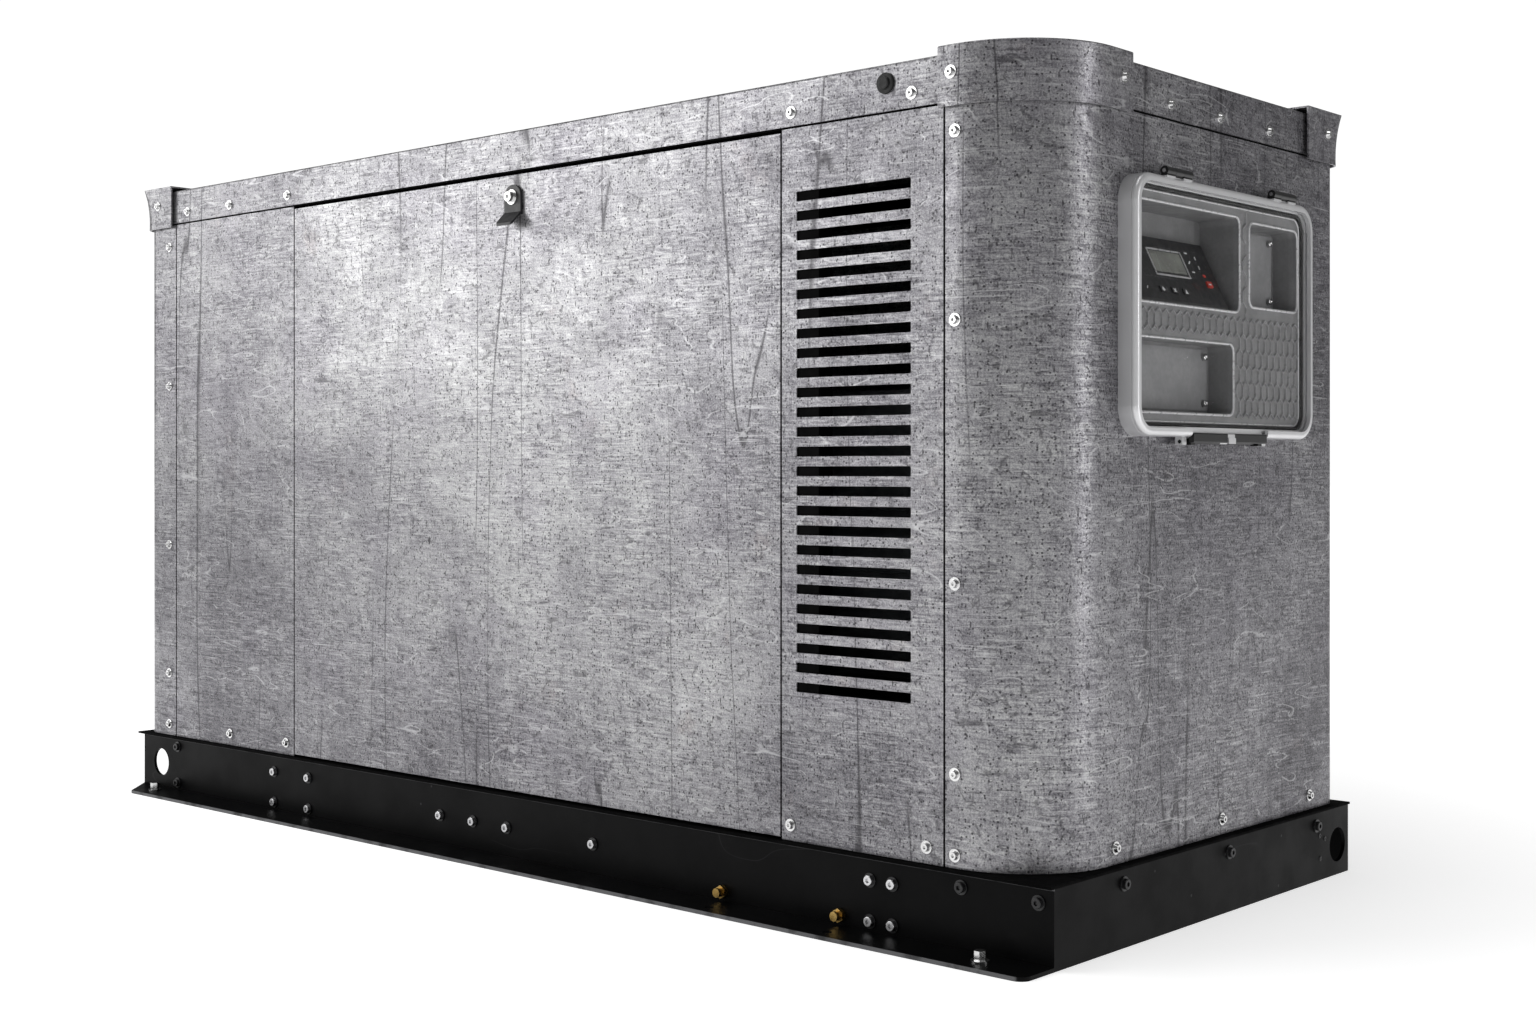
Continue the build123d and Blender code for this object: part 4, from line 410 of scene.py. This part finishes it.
# Finishes of single nodes, and the heights and sides where a node changes from one to another
BLACK_PLASTIC = (0.006, 0.006, 0.0065)
SILVER = (0.66, 0.66, 0.67)
# Door frame, frame posts, roof ring and deck plate: black paint made darker and without gloss, so that seams
# and slots show them as painted shade.
inner_black_shade = plain("inner_black_shade", (0.0012, 0.0012, 0.0013), (0.0024, 0.0024, 0.0025), 0.0, (0.7, 0.85), 20.0,
                    (420.0, 0.1), 0.04)
WASHER_FACE = 0.375 + 0.0016
HINGE_START = 0.9282
CLIP_MIDDLE = 0.010
CLIP_HALF = 0.0090
STEP = 0.0002
special = {
    "base_bolts": split_finish("bolt_on_black_washer", (0.012, 0.012, 0.013), (0.62, 0.62, 0.63), "Y",
                               WASHER_FACE, WASHER_FACE + STEP, (0.2, 1.0), (0.24, 0.36), True),
    "window_collar": split_finish("silver_collar", SILVER, BLACK_PLASTIC, "Z",
                                  HINGE_START, HINGE_START + 2 * STEP, (0.55, 0.0), (0.30, 0.38)),
    "cover_frame": split_finish("silver_cover", SILVER, BLACK_PLASTIC, "Z",
                                HINGE_START, HINGE_START + 2 * STEP, (0.55, 0.0), (0.30, 0.38)),
    "pocket_covers": plain("pocket_back", (0.19, 0.19, 0.195), (0.25, 0.25, 0.255), 0.0, (0.4, 0.55), 20.0,
                           (520.0, 0.15), 0.4),
    "instrument_plate": plain("plate_grey", (0.150, 0.150, 0.153), (0.195, 0.195, 0.198), 0.0, (0.34, 0.46),
                              26.0, (300.0, 0.08), 0.45),
    "window_latch": split_finish("latch_bar_and_clip", SILVER, BLACK_PLASTIC, "Y", CLIP_HALF,
                                 CLIP_HALF + STEP, (0.6, 0.0), (0.30, 0.40), True, CLIP_MIDDLE),
    "door_frame": inner_black_shade,
    "frame_posts": inner_black_shade,
    "roof_ring": inner_black_shade,
    "deck_plate": inner_black_shade,
}
for node, finish in special.items():
    for place in frame["nodes"][node].material_slots:
        place.material = finish


# ---------------------------------------------------------------- details of the control window
def piece(name, points, faces, material, body, slot_name, smooth=True):
    """One mesh object in the row's frame that rides on a CAD body."""
    mesh = bpy.data.meshes.new(name)
    mesh.from_pydata([tuple(p) for p in points], [], faces)
    made = bmesh.new()
    made.from_mesh(mesh)
    bmesh.ops.recalc_face_normals(made, faces=made.faces)
    made.to_mesh(mesh)
    made.free()
    for face in mesh.polygons:
        face.use_smooth = smooth
    mesh.materials.append(material)
    shape = bpy.data.objects.new(name, mesh)
    bpy.context.scene.collection.objects.link(shape)
    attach(shape, body)
    return shape


def rounded_loop(low, high, inset, radius, steps=7):
    """Points (y, z) once round a rounded rectangle given by its low and high corners."""
    y_low, z_low, y_high, z_high = low[0] + inset, low[1] + inset, high[0] - inset, high[1] - inset
    r = max(radius - inset, 0.0005)
    points = []
    for y, z, start in ((y_high - r, z_high - r, 0), (y_low + r, z_high - r, 90),
                        (y_low + r, z_low + r, 180), (y_high - r, z_low + r, 270)):
        for step in range(steps + 1):
            angle = math.radians(start + 90.0 * step / steps)
            points.append((y + r * math.cos(angle), z + r * math.sin(angle)))
    return points


def sweep(stations):
    """Points and faces of a closed ring whose cross sections are lists of equally many points."""
    count, sides = len(stations), len(stations[0])
    points = [p for section in stations for p in section]
    faces = []
    for i in range(count):
        for k in range(sides):
            here, there = i * sides, ((i + 1) % count) * sides
            nxt = (k + 1) % sides
            faces.append((here + k, here + nxt, there + nxt, there + k))
    return points, faces


def bead(name, x, loop, radius, material, slot_name, body="base", sides=8):
    """A round bead that runs along a closed loop on a plane of constant X."""
    stations = []
    for i, (y, z) in enumerate(loop):
        before, after = loop[i - 1], loop[(i + 1) % len(loop)]
        along = Vector((after[0] - before[0], after[1] - before[1])).normalized()
        out = (along[1], -along[0])
        section = []
        for k in range(sides):
            angle = 2 * math.pi * k / sides
            rise, push = radius * math.cos(angle), radius * math.sin(angle)
            section.append((x + rise, y + out[0] * push, z + out[1] * push))
        stations.append(section)
    return piece(name, *sweep(stations), material, body, slot_name)


def band(name, x_back, x_front, outer, inner, material, slot_name, body="base"):
    """A flat ring with softened front edges between two loops of equally many points."""
    soft = 0.25 * (x_front - x_back)
    stations = []
    for (yo, zo), (yi, zi) in zip(outer, inner):
        def at(share, x):
            return (x, yo + (yi - yo) * share, zo + (zi - zo) * share)
        stations.append([at(0.0, x_back), at(0.0, x_front - soft), at(0.15, x_front), at(0.85, x_front),
                         at(1.0, x_front - soft), at(1.0, x_back)])
    return piece(name, *sweep(stations), material, body, slot_name)


def honeycomb(name, x, inside, outside, material):
    """Low ribs in a pattern of tall hexagons on the plate, left out where the pockets are."""
    wide, tall, side = 17.0 * MM, 27.0 * MM, 14.0 * MM
    foot, crown, rise = 1.1 * MM, 0.5 * MM, 2.4 * MM
    rows = (tall + side) / 2
    (y_low, z_low), (y_high, z_high) = inside
    points, faces = [], []

    def clear(y, z):
        if not (y_low < y < y_high and z_low < z < z_high):
            return False
        return all(not (a < y < b and c < z < d) for a, b, c, d in outside)

    def rib(start, end):
        middle = ((start[0] + end[0]) / 2, (start[1] + end[1]) / 2)
        if not (clear(*start) and clear(*end) and clear(*middle)):
            return
        along = Vector((end[0] - start[0], end[1] - start[1])).normalized()
        across = (-along[1], along[0])
        first = len(points)
        for (y, z), reach in ((start, -1), (end, 1)):
            for half, height in ((foot, -0.2 * MM), (crown, rise), (-crown, rise), (-foot, -0.2 * MM)):
                points.append((x + height, y + across[0] * half + along[0] * reach * 0.3 * MM,
                               z + across[1] * half + along[1] * reach * 0.3 * MM))
        a, b = first, first + 4
        faces.extend([(a, a + 1, a + 2, a + 3), (b + 3, b + 2, b + 1, b)])
        faces.extend([(a + k, b + k, b + (k + 1) % 4, a + (k + 1) % 4) for k in range(4)])

    row_count = int((z_high - z_low) / rows) + 2
    column_count = int((y_high - y_low) / wide) + 2
    for row in range(row_count):
        z = z_low + row * rows
        for column in range(column_count):
            y = y_low + (column + 0.5 * (row % 2)) * wide
            left_top, right_top = (y - wide / 2, z + side / 2), (y + wide / 2, z + side / 2)
            top = (y, z + tall / 2)
            rib(left_top, top)
            rib(top, right_top)
            rib(left_top, (y - wide / 2, z - side / 2))
    return piece(name, points, faces, material, "base", "grey_plastic", False)


def button(name, places, x, radius, rise, material, body="base"):
    """Small round screw heads with a round recess, facing +X."""
    points, faces = [], []
    rings = ((1.0, 0.0), (1.0, 0.45), (0.78, 0.85), (0.42, 1.0), (0.34, 0.45))
    sides = 14
    for y, z in places:
        first = len(points)
        for reach, height in rings:
            for k in range(sides):
                angle = 2 * math.pi * k / sides
                points.append((x + rise * height, y + radius * reach * math.cos(angle),
                               z + radius * reach * math.sin(angle)))
        for ring in range(len(rings) - 1):
            for k in range(sides):
                a, b = first + ring * sides, first + (ring + 1) * sides
                faces.append((a + k, a + (k + 1) % sides, b + (k + 1) % sides, b + k))
        faces.append(tuple(first + k for k in reversed(range(sides))))
        faces.append(tuple(first + (len(rings) - 1) * sides + k for k in range(sides)))
    return piece(name, points, faces, material, body, "stainless")


FACE_START = Vector((973.5, -188.0, 779.0)) * MM
FACE_UP = Vector((-40.0, 0.0, 83.0)).normalized()
FACE_OUT = Vector((83.0, 0.0, 40.0)).normalized()


def face_point(u, v, lift):
    """A place on the controller's sloping face: mm to the right, mm up and mm proud of it."""
    return FACE_START + Vector((0.0, u * MM, 0.0)) + FACE_UP * (v * MM) + FACE_OUT * (lift * MM)


def glyph(name, outlines, lift, material, body, slot_name, thick=0.25):
    """Thin raised marks on the controller's face; every outline is a convex list of (u, v) in mm."""
    points, faces = [], []
    for outline in outlines:
        first, count = len(points), len(outline)
        points.extend(face_point(u, v, lift - 0.1) for u, v in outline)
        points.extend(face_point(u, v, lift + thick) for u, v in outline)
        faces.append(tuple(first + k for k in reversed(range(count))))
        faces.append(tuple(first + count + k for k in range(count)))
        for k in range(count):
            nxt = (k + 1) % count
            faces.append((first + k, first + nxt, first + count + nxt, first + count + k))
    return piece(name, points, faces, material, body, slot_name, False)


def pill(u, v, length, height, lean=0.0):
    """The outline of a short bar with chamfered ends, leaning by an angle in degrees."""
    corners = ((-0.5, -0.25), (-0.42, -0.5), (0.42, -0.5), (0.5, -0.25),
               (0.5, 0.25), (0.42, 0.5), (-0.42, 0.5), (-0.5, 0.25))
    c, n = math.cos(math.radians(lean)), math.sin(math.radians(lean))
    return [(u + a * length * c - b * height * n, v + a * length * n + b * height * c) for a, b in corners]


PLATE_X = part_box("instrument_plate")[1][0]
WINDOW = ((-220.0 * MM, 611.0 * MM), (240.0 * MM, 928.0 * MM))
WINDOW_RADIUS = 35.0 * MM
POCKETS = {
    "controller_mouth": ((-198.0 * MM, 776.0 * MM), (54.0 * MM, 896.0 * MM)),
    "upper_mouth": ((84.0 * MM, 785.0 * MM), (215.0 * MM, 892.0 * MM)),
    "lower_mouth": ((-196.0 * MM, 642.0 * MM), (38.0 * MM, 730.0 * MM)),
}
bright_edge = plain("bright_edge", (0.50, 0.50, 0.51), (0.58, 0.58, 0.59), 0.4, (0.26, 0.34), 60.0,
                    (90.0, 0.03))
# The honeycomb ribs get a lighter grey than the plate they are moulded on: a painted highlight standing in
# for their lit tops.
rib_painted_highlight = plain("rib_painted_highlight", (0.26, 0.26, 0.265), (0.31, 0.31, 0.315), 0.2, (0.26, 0.34), 40.0,
                 (90.0, 0.03), 0.5)
white_mark = plain("white_mark", (0.55, 0.55, 0.56), (0.68, 0.68, 0.69), 0.0, (0.4, 0.5), 200.0,
                   (900.0, 0.05))
band("plate_gasket", PLATE_X - 0.1 * MM, PLATE_X + 4.4 * MM,
     rounded_loop(*WINDOW, 12.7 * MM, WINDOW_RADIUS), rounded_loop(*WINDOW, 16.4 * MM, WINDOW_RADIUS),
     FINISH["black_rubber"], "black_rubber")
bead("plate_bead", PLATE_X + 0.3 * MM, rounded_loop(*WINDOW, 18.4 * MM, WINDOW_RADIUS), 1.1 * MM, bright_edge,
     "silver_frame")
for mouth, (low, high) in POCKETS.items():
    bead(mouth, PLATE_X + 0.2 * MM, rounded_loop(low, high, -2.0 * MM, 9.0 * MM), 1.7 * MM, bright_edge,
         "grey_plastic")
POCKET_MARGIN = 6 * MM
RIB_MARGIN = 20 * MM
around = [(low[0] - POCKET_MARGIN, high[0] + POCKET_MARGIN, low[1] - POCKET_MARGIN, high[1] + POCKET_MARGIN)
          for low, high in POCKETS.values()]
rib_area = (tuple(v + RIB_MARGIN for v in WINDOW[0]), tuple(v - RIB_MARGIN for v in WINDOW[1]))
honeycomb("plate_ribs", PLATE_X, rib_area, around, rib_painted_highlight)
COVER_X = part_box("pocket_covers")[1][0]
corner_screws = []
for mouth in ("upper_mouth", "lower_mouth"):
    low, high = POCKETS[mouth]
    screw_ys = (low[0] + 20 * MM, high[0] - 20 * MM)
    screw_zs = (low[1] + 14 * MM, high[1] - 14 * MM)
    corner_screws += [(y, z) for y in screw_ys for z in screw_zs]
button("pocket_screws", corner_screws, COVER_X - 0.2 * MM, 4.4 * MM, 2.2 * MM, FINISH["stainless"])

END_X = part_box("end_plate")[1][0]
PLUG_PLACES = [(0.286, 0.062), (0.302, 0.056), (0.288, 0.030)]
button("end_plate_plugs", PLUG_PLACES, END_X - 0.2 * MM, 3.6 * MM, 1.4 * MM, FINISH["black_bolt"])

lens_frame = [pill(109.0, 74.6, 84.0, 2.0), pill(109.0, 37.4, 84.0, 2.0), pill(67.6, 56.0, 2.0, 38.0),
              pill(150.4, 56.0, 2.0, 38.0)]
glyph("display_bezel", lens_frame, 0.0, bright_edge, "base", "grey_plastic", 0.9)
side_marks = [pill(u, v, 7.0, 2.0, lean) for u, v, lean in ((166, 76, 0), (166, 62, 35), (166, 48, 0))]
side_marks += [pill(u, v, 5.0, 2.0, 90) for u, v in ((186, 70), (186, 56))]
side_marks += [pill(34.0, 70.0, 16.0, 1.6), pill(30.0, 64.0, 8.0, 1.6), pill(30.0, 16.0, 5.0, 1.6, 45)]
glyph("panel_marks", side_marks, 0.0, white_mark, "base", "key_grey")
glyph("warning_lamp", [pill(190.0, 44.0, 6.0, 4.0)], 0.0, FINISH["key_red"], "base", "key_red", 0.6)
key_marks = {
    "menu_key_1": [[(61.5, 14.0), (65.0, 11.6), (68.5, 14.0), (65.0, 18.6)]],
    "menu_key_2": [pill(93.0, 15.2, 7.0, 1.6, 45), pill(93.0, 15.2, 7.0, 1.6, -45)],
    "menu_key_3": [[(117.5, 12.2), (124.5, 12.2), (121.0, 18.4)]],
    "stop_key": [pill(193.0, 31.4, 6.5, 2.0)],
}
KEY_PROUD = 1.6
for key, outlines in key_marks.items():
    glyph(key + "_mark", outlines, KEY_PROUD, white_mark, key, "key_grey", 0.2)


# ---------------------------------------------------------------- stage, lights and camera
def stage_floor():
    """A wide pale floor that fades into the white around it and takes soft shadows near the set."""
    mesh = bpy.data.meshes.new("studio_floor")
    reach = 60.0
    corners = [(-reach, -reach, 0.0), (reach, -reach, 0.0), (reach, reach, 0.0), (-reach, reach, 0.0)]
    mesh.from_pydata(corners, [], [(0, 1, 2, 3)])
    floor = bpy.data.objects.new("studio_floor", mesh)
    bpy.context.scene.collection.objects.link(floor)
    s = Shader("studio_floor")
    length = s.node("ShaderNodeVectorMath", operation="LENGTH")
    s.link(s.place, length.inputs[0])
    s.bsdf.inputs["Emission Color"].default_value = (1.0, 1.0, 1.0, 1.0)
    s.link(s.ramp(length.outputs["Value"], 0.9, 2.6, 0.60, 1.0), s.bsdf.inputs["Emission Strength"])
    mesh.materials.append(s.surface((0.80, 0.80, 0.80), 0.0, 0.9, 0.0))


def studio_world():
    """A white background, dimmer as a light so that the softboxes shape the object."""
    world = bpy.data.worlds.new("studio")
    bpy.context.scene.world = world
    world.use_nodes = True
    nodes = world.node_tree.nodes
    seen = nodes.new("ShaderNodeLightPath").outputs["Is Camera Ray"]
    strength = nodes.new("ShaderNodeMapRange")
    strength.inputs["To Min"].default_value = 0.20
    strength.inputs["To Max"].default_value = 1.05
    world.node_tree.links.new(seen, strength.inputs["Value"])
    back = nodes["Background"]
    back.inputs["Color"].default_value = (1.0, 1.0, 1.0, 1.0)
    world.node_tree.links.new(strength.outputs["Result"], back.inputs["Strength"])


def softbox(name, azimuth, elevation, distance, width, height, power, aim=(0.0, 0.0, 0.55)):
    """A rectangular area light that faces the aim point from an azimuth and elevation in degrees."""
    light = bpy.data.lights.new(name, "AREA")
    light.shape = "RECTANGLE"
    light.size = width
    light.size_y = height
    light.energy = power
    lamp = bpy.data.objects.new(name, light)
    bpy.context.scene.collection.objects.link(lamp)
    a, e = math.radians(azimuth), math.radians(elevation)
    offset = Vector((math.sin(a) * math.cos(e), -math.cos(a) * math.cos(e), math.sin(e))) * distance
    lamp.location = Vector(aim) + offset
    lamp.rotation_euler = (-offset).to_track_quat("-Z", "Y").to_euler()
    lamp.visible_camera = False


def camera():
    """The viewpoint: eye height near the middle of the set, turned towards its rounded corner."""
    data = bpy.data.cameras.new("camera")
    data.sensor_width = 36.0
    data.lens = 45.23
    data.shift_y = -0.0275
    data.clip_end = 200.0
    eye = bpy.data.objects.new("camera", data)
    eye.location = (2.194, -2.220, 0.570)
    eye.rotation_euler = (math.pi / 2, 0.0, math.radians(41.89))
    bpy.context.scene.collection.objects.link(eye)
    bpy.context.scene.camera = eye


stage_floor()
studio_world()
softbox("front_left_box", -40.0, 20.0, 3.6, 2.7, 2.1, 60.0)
softbox("right_strip", 106.0, 6.0, 3.2, 0.34, 2.6, 21.0, (0.9, -0.1, 0.55))
softbox("top_box", 10.0, 78.0, 3.4, 2.8, 2.0, 46.0)
camera()
bpy.context.scene.view_settings.view_transform = "Standard"
